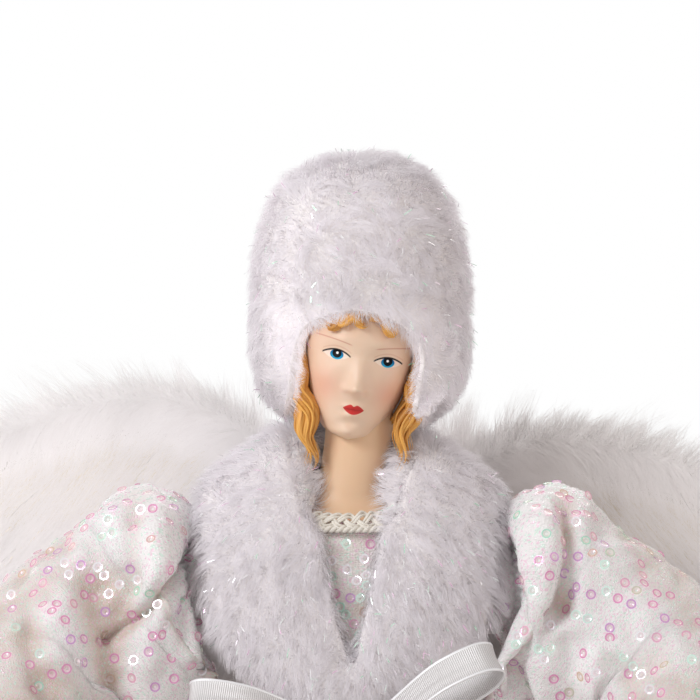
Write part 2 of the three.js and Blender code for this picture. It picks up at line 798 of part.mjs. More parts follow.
// A flat ribbon along a curve in the XZ plane, its width along Y
function ribbon(curve, lengthSteps, widthAt) {
  const rings = steps(lengthSteps + 1, (i) => {
    const t = i / lengthSteps;
    const middle = curve.getPoint(t);
    const along = curve.getTangent(t);
    const out = vec(along.z, 0, -along.x).multiplyScalar(RIBBON_THICKNESS / 2);
    const half = widthAt(t) / 2;
    return [
      [-half, 1],
      [half, 1],
      [half, -1],
      [-half, -1],
    ].map(([y, face]) => middle.clone().addScaledVector(out, face).add(vec(0, y, 0)));
  });
  return skin(rings);
}

// A loop, from its root at the origin
function bowLoop(side) {
  const half = LOOP_HEIGHT / 2;
  const root = LOOP_ROOT_HEIGHT / 2;
  const points = [
    [0, root],
    [0.28 * LOOP_LENGTH, 0.62 * half],
    [0.66 * LOOP_LENGTH, half],
    [0.95 * LOOP_LENGTH, 0.5 * half],
    [LOOP_LENGTH, -0.1 * half],
    [0.9 * LOOP_LENGTH, -0.72 * half],
    [0.6 * LOOP_LENGTH, -0.86 * half],
    [0.25 * LOOP_LENGTH, -0.5 * half],
    [0, -root],
  ].map(([x, z]) => vec(side * x, 0, z));
  const gather = (t) => lerp(LOOP_ROOT_WIDTH, RIBBON_WIDTH, Math.sin(Math.PI * t) ** 0.5);
  return ribbon(new THREE.CatmullRomCurve3(points), 26, gather);
}

const loopTurn = (side, rise) =>
  new THREE.Euler(rad(LOOP_LEAN), -side * rad(rise), -side * rad(LOOP_FORWARD), "ZYX");

// How far out a loop's root sits, so that its turned end only meets the knot
function loopRootX(side, rise) {
  const halfWidth = LOOP_ROOT_WIDTH / 2;
  const halfHeight = (LOOP_ROOT_HEIGHT + RIBBON_THICKNESS) / 2;
  const corners = [-1, 1].flatMap((y) => [-1, 1].map((z) => vec(0, y * halfWidth, z * halfHeight)));
  const inward = corners.map((corner) => -side * corner.applyEuler(loopTurn(side, rise)).x);
  return KNOT_WIDTH / 2 + GAP + RIBBON_THICKNESS / 2 + Math.max(...inward);
}

// A tail hangs from under the knot, clear of the skirt
function bowTail(side) {
  const top = KNOT_HEIGHT / 2 + GAP;
  const points = steps(5, (i) => {
    const t = i / 4;
    const ripple = 1.5 * Math.sin(Math.PI * 1.5 * t);
    const drop = top + t * TAIL_LENGTH;
    const skirtForward = -skirtPoint(-Math.PI / 2, (skirtTopZ - knotZ + drop) / skirtTopZ, 0).y;
    const forward = Math.max(0, skirtForward + 6 - knotForward);
    return vec(side * lerp(2.2, TAIL_SPREAD, ease(t)), -forward - 0.6 * ripple, -drop);
  });
  const curve = new THREE.CatmullRomCurve3(points);
  const rings = steps(11, (i) => {
    const t = i / 10;
    const middle = curve.getPoint(t);
    const half = (RIBBON_WIDTH / 2) * lerp(0.42, 1, ease(3 * t));
    const turn = side * lerp(0.5, -0.25, t);
    const across = vec(Math.cos(turn), Math.sin(turn), 0);
    const out = vec(-Math.sin(turn), Math.cos(turn), 0);
    const corners = [
      [-half, -1],
      [half, -1],
      [half, 1],
      [-half, 1],
    ];
    return corners.map(([a, face]) =>
      middle.clone().addScaledVector(across, a).addScaledVector(out, (face * RIBBON_THICKNESS) / 2),
    );
  });
  return skin(rings);
}

// Arms, in a frame on the arm axis at the middle of the body. Built for the left side.

const armPoint = ([outward, forward, below]) => alongY(outward, forward, -below);
const sleeveStartX = SHOULDER[0] + GAP;
const sleeveFlareX = sleeveStartX + SLEEVE_NECK_LENGTH;
const wristSleeveRadius = WRIST_RADIUS + GAP + CLOTH;

function sleeveCurve() {
  return new THREE.CatmullRomCurve3([
    vec(sleeveFlareX, 0, 0),
    ...SLEEVE_LINE.map(armPoint),
    armPoint(WRIST),
  ]);
}

const sleeveRadii = [SLEEVE_NECK_RADIUS, ...SLEEVE_LINE.map((s) => s[3]), wristSleeveRadius];
const sleeveRadiusAt = through(sleeveRadii.map((r, i) => [i / (sleeveRadii.length - 1), r]));

// Rings of the sleeve from flare to wrist. The cloth keeps its thickness where the sleeve flares.
function sleeveRings(inset, lengthSteps, from = 0) {
  const sides = 4 * SLEEVE_FOLDS;
  const curve = sleeveCurve();
  const section = (t, angle) => {
    const [radius] = sleeveRadiusAt(t);
    const next = Math.min(1, t + 0.01);
    const advance = Math.max(GAP, curve.getPoint(t).distanceTo(curve.getPoint(next)));
    const slope = (sleeveRadiusAt(next)[0] - radius) / advance;
    const loose = Math.sin(Math.PI * t) ** 0.8;
    const fold = 0.5 * SLEEVE_FOLD_DEPTH * loose * Math.cos(SLEEVE_FOLDS * angle);
    const sag = 0.1 * loose * Math.max(0, -Math.sin(angle));
    const reach = radius * (1 + sag) + fold - inset * Math.hypot(1, slope);
    const flat = lerp(1, SLEEVE_DEPTH_SHARE, loose);
    return [reach * flat * Math.cos(angle), reach * Math.sin(angle)];
  };
  return sweepRings(curve, vec(0, 0, 1), lengthSteps, sides, section, from);
}

function sleeve() {
  const sides = 4 * SLEEVE_FOLDS;
  const neck = (inset) => {
    const radius = SLEEVE_NECK_RADIUS - inset;
    return ring(sides, (a) => vec(sleeveStartX, -radius * Math.cos(a), radius * Math.sin(a)));
  };
  const rings = (inset) => [neck(inset), ...sleeveRings(inset, 11)];
  return tube(rings(0), rings(CLOTH));
}

// The cuff wraps the gathered end of the sleeve
function cuff() {
  const from = 1 - CUFF_LENGTH / sleeveCurve().getLength();
  return tube(sleeveRings(-GAP - CUFF_THICKNESS, 1, from), sleeveRings(-GAP, 1, from));
}

function armCore() {
  const line = new THREE.CatmullRomCurve3([
    vec(socketX + GAP, 0, 0),
    vec(sleeveStartX, 0, 0),
    vec(sleeveFlareX, 0, 0),
    ...SLEEVE_LINE.map(armPoint),
    armPoint(WRIST),
  ]);
  const radiusAt = (t) => lerp(ARM_RADIUS, WRIST_RADIUS, ease((t - 0.5) / 0.4));
  return skin(sweepRings(line, vec(0, 0, 1), 16, 8, round(radiusAt)));
}

// A doll's hand with its fingers together, in a frame with the fingers along +X and the thumb up
function handShape() {
  const palm = skin(
    [
      [0, WRIST_RADIUS * 0.9, WRIST_RADIUS * 0.85],
      [0.25, PALM_WIDTH * 0.44, PALM_THICKNESS * 0.62],
      [0.65, PALM_WIDTH * 0.52, PALM_THICKNESS * 0.55],
      [1, PALM_WIDTH * 0.48, PALM_THICKNESS * 0.36],
    ].map(([share, tall, thick]) =>
      ring(12, (a) => vec(share * PALM_LENGTH, thick * Math.cos(a), tall * Math.sin(a))),
    ),
  );
  const finger = (length, z, bend) =>
    new THREE.CapsuleGeometry(FINGER_RADIUS, length, 2, 6)
      .rotateZ(-Math.PI / 2)
      .translate(length / 2, 0, 0)
      .rotateZ(bend)
      .translate(PALM_LENGTH - 1, 0, z);
  const pitch = (PALM_WIDTH - 2 * FINGER_RADIUS) / 3.15;
  const lengths = [0.78, 0.95, 1, 0.9];
  const fingers = lengths.map((share, i) =>
    finger(share * FINGER_LENGTH, (i - 1.5) * pitch, 0.16 + 0.05 * (3 - i)),
  );
  const thumb = new THREE.CapsuleGeometry(FINGER_RADIUS * 1.1, 0.75 * FINGER_LENGTH, 2, 6)
    .rotateZ(-Math.PI / 2)
    .rotateY(-rad(48))
    .translate(0.55 * PALM_LENGTH, 0.6, 0.5 * PALM_WIDTH);
  return join(palm, ...fingers, thumb);
}

function hand() {
  const line = sleeveCurve();
  const along = line.getTangent(1);
  const across = vec(0, 0, 1).cross(along).normalize();
  const up = along.clone().cross(across);
  const start = line.getPoint(1).addScaledVector(along, GAP);
  const place = new THREE.Matrix4().makeBasis(along, across, up).setPosition(start);
  return handShape().applyMatrix4(place);
}

// Wing yoke: a C-shaped bracket sewn to the back, with two upright pins

const gownBackY = bodyAt(yokeZ)[2] + clothOuter;
const pinY = gownBackY + YOKE_STANDOFF;
const pinX = YOKE_PIN_SPACING / 2;

function wingYoke() {
  const reach = pinY + KNUCKLE_RADIUS - gownBackY - GAP;
  const block = (w, d, h, y, z) => new THREE.BoxGeometry(w, d, h).translate(0, y, z);
  const front = gownBackY + GAP;
  const shelfWidth = YOKE_PIN_SPACING + 2 * KNUCKLE_RADIUS;
  const shelfZ = (YOKE_HEIGHT - YOKE_LUG) / 2;
  const plate = block(YOKE_WIDTH, YOKE_PLATE, YOKE_HEIGHT, front + YOKE_PLATE / 2, 0);
  const shelves = [-1, 1].map((end) =>
    block(shelfWidth, reach, YOKE_LUG, front + reach / 2, end * shelfZ),
  );
  const pins = [-1, 1].map((side) =>
    new THREE.CylinderGeometry(YOKE_PIN_RADIUS, YOKE_PIN_RADIUS, 2 * shelfZ, 16)
      .rotateX(Math.PI / 2)
      .translate(side * pinX, pinY, 0),
  );
  return join(plate, ...shelves, ...pins).translate(0, 0, yokeZ);
}

// Wings, in a frame on the pin at the middle of the yoke. Built for the left side.

const wingPoint = ([x, z]) => vec(x, 0, z);
const leadingEdge = () => new THREE.CatmullRomCurve3(WING_LEADING_EDGE.map(wingPoint));
const edgePoints = (count) => leadingEdge().getPoints(count - 1);

// A flat piece from an outline of [x, z], between two depths
function plate(outline, y0, y1) {
  const shape = new THREE.Shape(outline.map(([x, z]) => new THREE.Vector2(x, z)));
  const options = { depth: y1 - y0, bevelEnabled: false };
  return new THREE.ExtrudeGeometry(shape, options).rotateX(Math.PI / 2).translate(0, y1, 0);
}

function knuckle() {
  const half = YOKE_HEIGHT / 2 - YOKE_LUG - GAP;
  const bore = YOKE_PIN_RADIUS + RUNNING;
  return turned(
    [
      [bore, -half],
      [KNUCKLE_RADIUS, -half],
      [KNUCKLE_RADIUS, half],
      [bore, half],
      [bore, -half],
    ],
    20,
  );
}

// One length of wire: out of the knuckle, up beside it and along the leading edge
function wingWire(lift, rise) {
  const lifted = edgePoints(16).map((p) => p.applyAxisAngle(vec(0, 1, 0), -rad(lift)).setZ(p.z + rise));
  const inKnuckle = (YOKE_PIN_RADIUS + RUNNING + KNUCKLE_RADIUS) / 2;
  const [first] = lifted;
  const line = new THREE.CatmullRomCurve3([
    vec(inKnuckle, 0, 0.1 * first.z),
    vec(KNUCKLE_RADIUS + 2.2 * WING_WIRE_RADIUS, 0, 0.36 * first.z),
    ...lifted,
  ]);
  const wireRings = sweepRings(line, vec(0, 1, 0), 22, 6, round(() => WING_WIRE_RADIUS));
  return join(knuckle(), skin(wireRings));
}

// The felt board stays inside the wire and clear of the knuckle
function wingBoard() {
  const edge = leadingEdge();
  const inset = WING_WIRE_RADIUS + GAP;
  const top = steps(11, (i) => {
    const t = lerp(0.1, 1, i / 10);
    const along = edge.getTangent(t);
    return edge.getPoint(t).add(vec(along.z, 0, -along.x).multiplyScalar(inset));
  });
  const lower = new THREE.CatmullRomCurve3(WING_TRAILING_EDGE.map(wingPoint)).getPoints(10);
  const outline = [...top, ...lower].map((p) => [p.x, p.z]);
  return plate(outline, -WING_BOARD / 2, WING_BOARD / 2);
}

// A feather's outline: [share of the length, share of the half width]
const FEATHER_OUTLINE = [
  [0, 0.35],
  [0.3, 0.74],
  [0.6, 1],
  [0.8, 0.94],
  [0.93, 0.62],
  [1, 0.14],
];

function feather(base, angle, length, width, y0, y1) {
  const upper = FEATHER_OUTLINE.map(([s, w]) => [s * length, (w * width) / 2]);
  const lower = FEATHER_OUTLINE.map(([s, w]) => [s * length, (-w * width) / 2]);
  const [c, s] = [Math.cos(angle), Math.sin(angle)];
  const outline = [...lower, ...upper.reverse()].map(([u, v]) => [
    base[0] + c * u - s * v,
    base[1] + s * u + c * v,
  ]);
  return plate(outline, y0, y1);
}

// A fan of feathers across the wing, from the body to the tip
function featherFan(count, from, to, angles, lengthAt, width, y0, y1) {
  const blades = steps(count, (i) => {
    const t = i / (count - 1);
    const base = [lerp(from[0], to[0], t), lerp(from[1], to[1], t)];
    return feather(base, rad(lerp(...angles, t)), lengthAt(t), width, y0, y1);
  });
  return join(...blades);
}

function primaries() {
  const front = WING_BOARD / 2 + GAP;
  const lengthAt = (t) => PRIMARY_LENGTH * (0.7 + 0.3 * Math.sin(Math.PI * (0.15 + 0.75 * t)));
  return featherFan(
    PRIMARY_COUNT,
    PRIMARY_FIRST_ROOT,
    PRIMARY_LAST_ROOT,
    PRIMARY_ANGLES,
    lengthAt,
    PRIMARY_WIDTH,
    front,
    front + FEATHER_THICKNESS,
  );
}

function coverts() {
  const back = -WING_BOARD / 2 - GAP;
  const lengthAt = (t) => COVERT_LENGTH * (0.74 + 0.26 * Math.sin(Math.PI * t));
  return featherFan(
    COVERT_COUNT,
    COVERT_FIRST_ROOT,
    COVERT_LAST_ROOT,
    COVERT_ANGLES,
    lengthAt,
    COVERT_WIDTH,
    back - FEATHER_THICKNESS,
    back,
  );
}

// A fluffy roll of down that lies on the wire along the leading edge
function marabou() {
  const edge = leadingEdge();
  const radiusAt = (t) => MARABOU_RADIUS * lerp(0.5, 1, Math.sin(Math.PI * lerp(0.1, 0.95, t)));
  const clear = WING_WIRE_RADIUS + 2 * GAP;
  const line = new THREE.CatmullRomCurve3(
    steps(9, (i) => {
      const t = lerp(0.08, 1, i / 8);
      const along = edge.getTangent(t);
      const out = vec(-along.z, 0, along.x);
      return edge.getPoint(t).addScaledVector(out, clear + radiusAt(i / 8));
    }),
  );
  return skin(sweepRings(line, vec(0, 1, 0), 14, 10, round(radiusAt)));
}

// A mirror copy, left to right
function mirrored(geometry) {
  const copy = mergeVertices(geometry).scale(-1, 1, 1);
  const order = copy.index.array;
  for (let i = 0; i < order.length; i += 3) [order[i], order[i + 1]] = [order[i + 1], order[i]];
  return copy;
}

// Materials

const material = (name, color, roughness, metalness = 0) =>
  Object.assign(new THREE.MeshStandardMaterial({ color, roughness, metalness }), { name });

const card = () => material("card", 0xe6e0d3, 0.9);
const form = () => material("form", 0xe9e3d8, 0.85);
const doll = () => material("doll", 0xe9bf9f, 0.45);
const hair = () => material("hair", 0xb4853f, 0.5);
const fur = () => material("fur", 0xf1ece3, 0.95);
const gown = () => material("gown", 0xece5d8, 0.7);
const braidCord = () => material("braid_cord", 0xf4f1ea, 0.8);
const tulle = () => material("tulle", 0xf4f1ea, 0.9);
const silverRibbon = () => material("silver_ribbon", 0xdedcd6, 0.4, 0.3);
const wire = () => material("wire", 0xd9d4c8, 0.45, 0.7);
const felt = () => material("felt", 0xe9e1d3, 0.95);
const featherVane = () => material("feather_vane", 0xe8dece, 0.8);
const down = () => material("down", 0xefe8dc, 0.95);

// Assembly

const piece = (name, geometry, finish) => Object.assign(new THREE.Mesh(geometry, finish), { name });

function group(name, position, ...children) {
  const made = new THREE.Group();
  made.name = name;
  made.position.copy(position);
  return made.add(...children);
}

function figure() {
  const origin = vec(0, 0, 0);
  const dress = group(
    "gown",
    origin,
    piece("bodice", bodice(), gown()),
    piece("neckline_braid", necklineBraid(), braidCord()),
    piece("waistband", waistband(), silverRibbon()),
    piece("skirt_back", skirtPanel(0), gown()),
    piece("skirt_front", skirtPanel(Math.PI), gown()),
    piece("petticoat", petticoat(), tulle()),
  );
  const hairAndHat = group(
    "head_dress",
    origin,
    piece("wig_cap", wigCap(), hair()),
    piece("hair_lock_left", cut(hairLock(1, 0), grownSkull(GAP)), hair()),
    piece("hair_lock_right", cut(hairLock(-1, 0), grownSkull(GAP)), hair()),
    piece("fur_hat", furHat(), fur()),
  );
  return group(
    "figure",
    origin,
    piece("support_cone", supportCone(), card()),
    piece("torso_form", torsoForm(), form()),
    piece("bust_head", bustHead(), doll()),
    dress,
    hairAndHat,
    piece("fur_stole", furStole(), fur()),
    piece("wing_yoke", wingYoke(), wire()),
  );
}

function bow() {
  const loops = [1, -1].map((side) => {
    const name = side > 0 ? "bow_loop_left" : "bow_loop_right";
    const loop = piece(name, bowLoop(side), silverRibbon());
    const rise = side > 0 ? LEFT_LOOP_RISE : RIGHT_LOOP_RISE;
    loop.rotation.copy(loopTurn(side, rise));
    loop.position.x = side * loopRootX(side, rise);
    return loop;
  });
  const tails = [1, -1].map((side) =>
    piece(side > 0 ? "bow_tail_left" : "bow_tail_right", bowTail(side), silverRibbon()),
  );
  const knot = piece("bow_knot", bowKnot(), silverRibbon());
  return group("bow", alongY(0, knotForward, knotZ), knot, ...loops, ...tails);
}

function arm(side) {
  const name = side > 0 ? "left" : "right";
  const sided = (geometry) => (side > 0 ? geometry : mirrored(geometry));
  return group(
    `${name}_arm`,
    vec(0, 0, armZ),
    piece(`${name}_arm_core`, sided(armCore()), wire()),
    piece(`${name}_sleeve`, sided(sleeve()), gown()),
    piece(`${name}_cuff`, sided(cuff()), silverRibbon()),
    piece(`${name}_hand`, sided(hand()), doll()),
  );
}

function wing(side) {
  const name = side > 0 ? "left" : "right";
  const lift = side > 0 ? LEFT_WING_LIFT : RIGHT_WING_LIFT;
  const rise = side > 0 ? LEFT_WING_RISE : RIGHT_WING_RISE;
  const sided = (geometry) => (side > 0 ? geometry : mirrored(geometry));
  const lifted = (geometry) => sided(geometry.rotateY(-rad(lift)).translate(0, 0, rise));
  const made = group(
    `${name}_wing`,
    vec(side * pinX, pinY, yokeZ),
    piece(`${name}_wing_wire`, sided(wingWire(lift, rise)), wire()),
    piece(`${name}_wing_board`, lifted(wingBoard()), felt()),
    piece(`${name}_primaries`, lifted(primaries()), featherVane()),
    piece(`${name}_coverts`, lifted(coverts()), featherVane()),
    piece(`${name}_marabou`, lifted(marabou()), down()),
  );
  made.rotation.z = side * rad(WING_SWEEP);
  return made;
}

export default group("angel_tree_topper", vec(0, 0, 0), figure(), bow(), arm(1), arm(-1), wing(1), wing(-1));
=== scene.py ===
"""Looks of the angel tree topper: fur, sequined cloth, ribbon, feathers and a painted doll's head.

Lengths are in millimetres until a mesh is made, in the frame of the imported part: +Z up, facing -Y.
"""

import math
import zlib

import bpy
import numpy as np
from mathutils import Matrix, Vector, noise
from mathutils.bvhtree import BVHTree
from mathutils.kdtree import KDTree


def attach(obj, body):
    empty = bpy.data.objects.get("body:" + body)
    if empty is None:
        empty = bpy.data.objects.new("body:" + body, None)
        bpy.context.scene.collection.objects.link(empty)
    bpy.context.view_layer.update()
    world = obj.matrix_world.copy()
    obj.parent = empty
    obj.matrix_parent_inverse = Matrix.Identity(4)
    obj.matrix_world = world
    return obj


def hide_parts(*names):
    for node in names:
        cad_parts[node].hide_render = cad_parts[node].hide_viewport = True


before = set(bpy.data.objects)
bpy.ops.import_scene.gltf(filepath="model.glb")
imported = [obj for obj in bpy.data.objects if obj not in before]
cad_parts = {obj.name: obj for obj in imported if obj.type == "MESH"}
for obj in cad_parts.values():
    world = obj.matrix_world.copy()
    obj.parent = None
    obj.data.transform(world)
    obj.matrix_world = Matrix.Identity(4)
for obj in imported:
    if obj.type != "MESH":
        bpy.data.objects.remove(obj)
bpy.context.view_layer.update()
MM = 0.001
TAU = 2 * math.pi
SIDES = ((1, "left"), (-1, "right"))

# Sizes shared with the part's source

GAP = 0.3
CLOTH = 0.9
CLOTH_OUTER = GAP + CLOTH
CONE_HEIGHT = 206.0
CONE_BASE_RADIUS, CONE_TOP_RADIUS = 66.0, 17.0
BODICE_HEIGHT = 67
WAIST_Z = CONE_HEIGHT + 10
SHOULDER_Z = WAIST_Z + BODICE_HEIGHT
NECKLINE_Z = SHOULDER_Z + 12.5
EYE_Z = SHOULDER_Z + 59.5
ARM_Z = SHOULDER_Z - 8
YOKE_Z = SHOULDER_Z - 22
NECK_RADIUS = 9.6
WAIST = np.array([20.5, 17.6, 17.2])
SHOULDER = np.array([33.0, 16.5, 17.0])
HEAD_HEIGHT, HEAD_WIDTH, HEAD_FRONT, HEAD_BACK = 48.0, 31.2, 18.0, 20.0
HEAD_ASIDE, HEAD_ROLL, HEAD_NOD = 2.6, 8.0, 3.0
NECK_TOP_Z = EYE_Z - 0.42 * HEAD_HEIGHT
PAINT_ASIDE, PAINT_ROLL = 1.0, 2.0  # how the painted face sits on the modelled head
HEM_RADIUS, HEM_LIFT = 95.0, 1.5
SLEEVE_LINE = [
    [51, 0, 0, 31],
    [61, 1, 4, 29],
    [74, 5, 12, 29],
    [88, 14, 24, 28],
    [94, 33, 38, 24],
    [87, 53, 48, 16],
]
WRIST = [75, 67, 52]
SLEEVE_NECK_RADIUS, SLEEVE_NECK_LENGTH = 12.6, 13.0
WRIST_SLEEVE_RADIUS = 4 + GAP + CLOTH
KNOT = np.array([0.0, -38.744, SHOULDER_Z - 45])
WING_LEADING_EDGE = [[8, 20], [25, 45], [48, 53], [80, 47], [115, 30], [134, 10]]
WING_TRAILING_EDGE = [[128, -10], [108, -30], [80, -43], [52, -44], [26, -32], [10, -8]]
WING_SWEEP = 6.0
WING_LIFT = {"left": 1.0, "right": 2.0}
WING_RISE = {"left": -9.0, "right": 2.0}
PIN = np.array([9.0, 35.28, YOKE_Z])


# Small tools


def rng_for(name):
    return np.random.default_rng(zlib.crc32(name.encode()))


def unit(v):
    return v / np.maximum(np.linalg.norm(v, axis=-1, keepdims=True), 1e-9)


def ease(t):
    t = np.clip(t, 0, 1)
    return t * t * (3 - 2 * t)


def lerp(a, b, t):
    return a + (b - a) * t


def bell(x):
    return np.exp(-(x**2))


def all_round(sides):
    return np.linspace(0, TAU, sides, endpoint=False)


def rgb(r, g, b):
    """A colour as seen on a screen, from 0 to 255, to the renderer's own values."""
    c = np.array([r, g, b]) / 255
    lin = np.where(c <= 0.04045, c / 12.92, ((c + 0.055) / 1.055) ** 2.4)
    return (*lin.tolist(), 1.0)


def through(stations):
    """Values that run smoothly through stations, each [place, value, value, ...]."""
    table = np.array(stations, float)
    places, values = table[:, 0], table[:, 1:]

    def at(place):
        place = np.clip(np.atleast_1d(np.asarray(place, float)), places[0], places[-1])
        i1 = np.clip(np.searchsorted(places, place, side="right"), 1, len(places) - 1)
        i0 = i1 - 1
        t0, t1 = places[i0], places[i1]
        first, last = i0 == 0, i1 == len(places) - 1
        lower, upper = np.maximum(i0 - 1, 0), np.minimum(i1 + 1, len(places) - 1)
        before = np.where(first, 2 * t0 - t1, places[lower])
        after = np.where(last, 2 * t1 - t0, places[upper])
        v_before = np.where(first[:, None], values[i1], values[lower])
        v_after = np.where(last[:, None], values[i0], values[upper])
        wp, wn = 0.5 * (t1 - t0) / (t0 - before), 0.5 * (t1 - t0) / (after - t1)
        p = (place - t0) / (t1 - t0)
        sp = -wp * p**3 + 2 * wp * p**2 - wp * p
        s0 = (1 + wp) * p**3 + (-1.5 - 2 * wp) * p**2 + (-0.5 + wp) * p + 1
        s1 = (-1 - wn) * p**3 + (1.5 + wn) * p**2 + 0.5 * p
        sn = wn * p**3 - wn * p**2
        parts = ((sp, v_before), (s0, values[i0]), (s1, values[i1]), (sn, v_after))
        return sum(w[:, None] * v for w, v in parts)

    return at


def catmull(points, places):
    """Points on a smooth open curve through the given ones, where place 0 to 1 runs over equal spans."""
    p = np.array(points, float)
    spans = len(p) - 1
    p = np.vstack([2 * p[0] - p[1], p, 2 * p[-1] - p[-2]])
    span = spans * np.clip(places, 0, 1)
    i = np.minimum(span.astype(int), spans - 1)
    w = (span - i)[:, None]
    x0, x1, x2, x3 = p[i], p[i + 1], p[i + 2], p[i + 3]
    pairs = ((x0, x1), (x1, x2), (x2, x3))
    d0, d1, d2 = (np.linalg.norm(b - a, axis=1, keepdims=True) ** 0.5 for a, b in pairs)
    t1 = ((x1 - x0) / d0 - (x2 - x0) / (d0 + d1) + (x2 - x1) / d1) * d1
    t2 = ((x2 - x1) / d1 - (x3 - x1) / (d1 + d2) + (x3 - x2) / d2) * d1
    a, b = 2 * x1 - 2 * x2 + t1 + t2, -3 * x1 + 3 * x2 - 2 * t1 - t2
    return a * w**3 + b * w**2 + t1 * w + x1


def rotation(axis, degrees):
    c, s = math.cos(math.radians(degrees)), math.sin(math.radians(degrees))
    if axis == "x":
        return np.array([[1, 0, 0], [0, c, -s], [0, s, c]])
    if axis == "y":
        return np.array([[c, 0, s], [0, 1, 0], [-s, 0, c]])
    return np.array([[c, -s, 0], [s, c, 0], [0, 0, 1]])


def wavy(points, scale, seed):
    """Smooth noise from -1 to 1 at each point, with features about scale across."""
    return np.array([noise.noise(Vector(p) / scale + Vector((seed, -seed, 2 * seed))) for p in points])


def drift(points, scale, *seeds):
    """A direction that wanders from place to place."""
    return np.stack([wavy(points, scale, seed) for seed in seeds], 1)


# Meshes


def mesh_data(name, points, quads, uv=None, uv_name="Cloth", **attributes):
    """A smooth mesh from arrays, with its own map and values at its points."""
    mesh = bpy.data.meshes.new(name)
    mesh.vertices.add(len(points))
    mesh.vertices.foreach_set("co", (np.asarray(points, float) * MM).astype(np.float32).ravel())
    corners = np.asarray(quads, np.int32)
    mesh.loops.add(corners.size)
    mesh.loops.foreach_set("vertex_index", corners.ravel())
    mesh.polygons.add(len(corners))
    starts = np.arange(0, corners.size, corners.shape[1], dtype=np.int32)
    mesh.polygons.foreach_set("loop_start", starts)
    mesh.polygons.foreach_set("use_smooth", np.full(len(corners), True))
    mesh.update(calc_edges=True)
    if uv is not None:
        layer = mesh.uv_layers.new(name=uv_name)
        layer.data.foreach_set("uv", np.asarray(uv, np.float32)[corners.ravel()].ravel())
    for key, values in attributes.items():
        made = mesh.attributes.new(key, "FLOAT", "POINT")
        made.data.foreach_set("value", np.asarray(values, np.float32))
    return mesh


def piece(name, points, quads, look, replaces=(), uv=None, uv_name="Cloth", **attributes):
    """A visible piece. Its look is its material, its body and its slot; the slot is not used."""
    material, body, slot = look
    made = bpy.data.objects.new(name, mesh_data(name, points, quads, uv, uv_name, **attributes))
    bpy.context.scene.collection.objects.link(made)
    made.data.materials.append(material)
    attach(made, body)
    if replaces:
        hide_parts(*replaces)
    return made


def modify(made, name, kind, **settings):
    added = made.modifiers.new(name, kind)
    for key, value in settings.items():
        setattr(added, key, value)


def thicken(made, thickness):
    """Gives a sheet its cloth's thickness, half to each side."""
    modify(made, "thickness", "SOLIDIFY", thickness=thickness * MM, offset=0)
    return made


def grid_quads(rows, columns, wrap=False, wrap_rows=False):
    r = np.arange(rows if wrap_rows else rows - 1)
    c = np.arange(columns if wrap else columns - 1)
    r, c = (a.ravel() for a in np.meshgrid(r, c, indexing="ij"))
    r2, c2 = (r + 1) % rows, (c + 1) % columns
    return np.stack([r * columns + c, r * columns + c2, r2 * columns + c2, r2 * columns + c], 1)


def outward(points, quads):
    """The quads turned so that a closed form's faces look out."""
    a, b, c, d = (points[quads[:, i]] for i in range(4))
    volume = (a * np.cross(b, c)).sum() + (a * np.cross(c, d)).sum()
    return quads if volume > 0 else quads[:, ::-1]


def join_grids(parts):
    """Several (points, quads) as one."""
    points, quads, start = [], [], 0
    for p, q in parts:
        points.append(p)
        quads.append(q + start)
        start += len(p)
    return np.vstack(points), np.vstack(quads)


def grid_map(u, v):
    """The map of a grid, from its coordinates along rows and columns."""
    return np.stack(np.broadcast_arrays(u, v), -1).reshape(-1, 2)


def map_cells(count):
    """The corner of each thing's own cell in a square map, and how many cells lie along a side."""
    cells = math.ceil(math.sqrt(count))
    return np.stack([np.arange(count) % cells, np.arange(count) // cells], 1)[:, None, None], cells


def frames_along(line, upright, closed=False):
    """Across and up at each point of a line."""
    ahead = np.roll(line, -1, 0) - np.roll(line, 1, 0) if closed else np.gradient(line, axis=0)
    along = unit(ahead)
    across = unit(np.cross(along, upright))
    return across, np.cross(across, along)


def pipe(line, radii, sides, closed=False, upright=(0, 0, 1.0)):
    """A round tube along a line, as (points, quads). Open ends close in a small cap."""
    line, radii = np.asarray(line, float), np.broadcast_to(radii, len(line))
    across, up = frames_along(line, upright, closed)
    if not closed:
        line, across, up = (np.vstack([v[:1], v, v[-1:]]) for v in (line, across, up))
        radii = np.concatenate([[0.02], radii, [0.02]])
    angle = all_round(sides)[None, :, None]
    ring = across[:, None] * np.cos(angle) + up[:, None] * np.sin(angle)
    points = (line[:, None] + radii[:, None, None] * ring).reshape(-1, 3)
    quads = grid_quads(len(line), sides, wrap=True, wrap_rows=closed)
    return points, outward(points, quads)


# Materials


class Value:
    """What a shader node gives, to reckon with as with a number."""

    def __init__(self, shader, socket):
        self.shader, self.socket = shader, socket

    def __add__(self, other):
        return self.shader.math("ADD", self, other)

    def __sub__(self, other):
        return self.shader.math("SUBTRACT", self, other)

    def __rsub__(self, other):
        return self.shader.math("SUBTRACT", other, self)

    def __mul__(self, other):
        return self.shader.math("MULTIPLY", self, other)

    def __truediv__(self, other):
        return self.shader.math("DIVIDE", self, other)

    def __rpow__(self, base):
        return self.shader.math("POWER", base, self)

    def __abs__(self):
        return self.shader.math("ABSOLUTE", self)


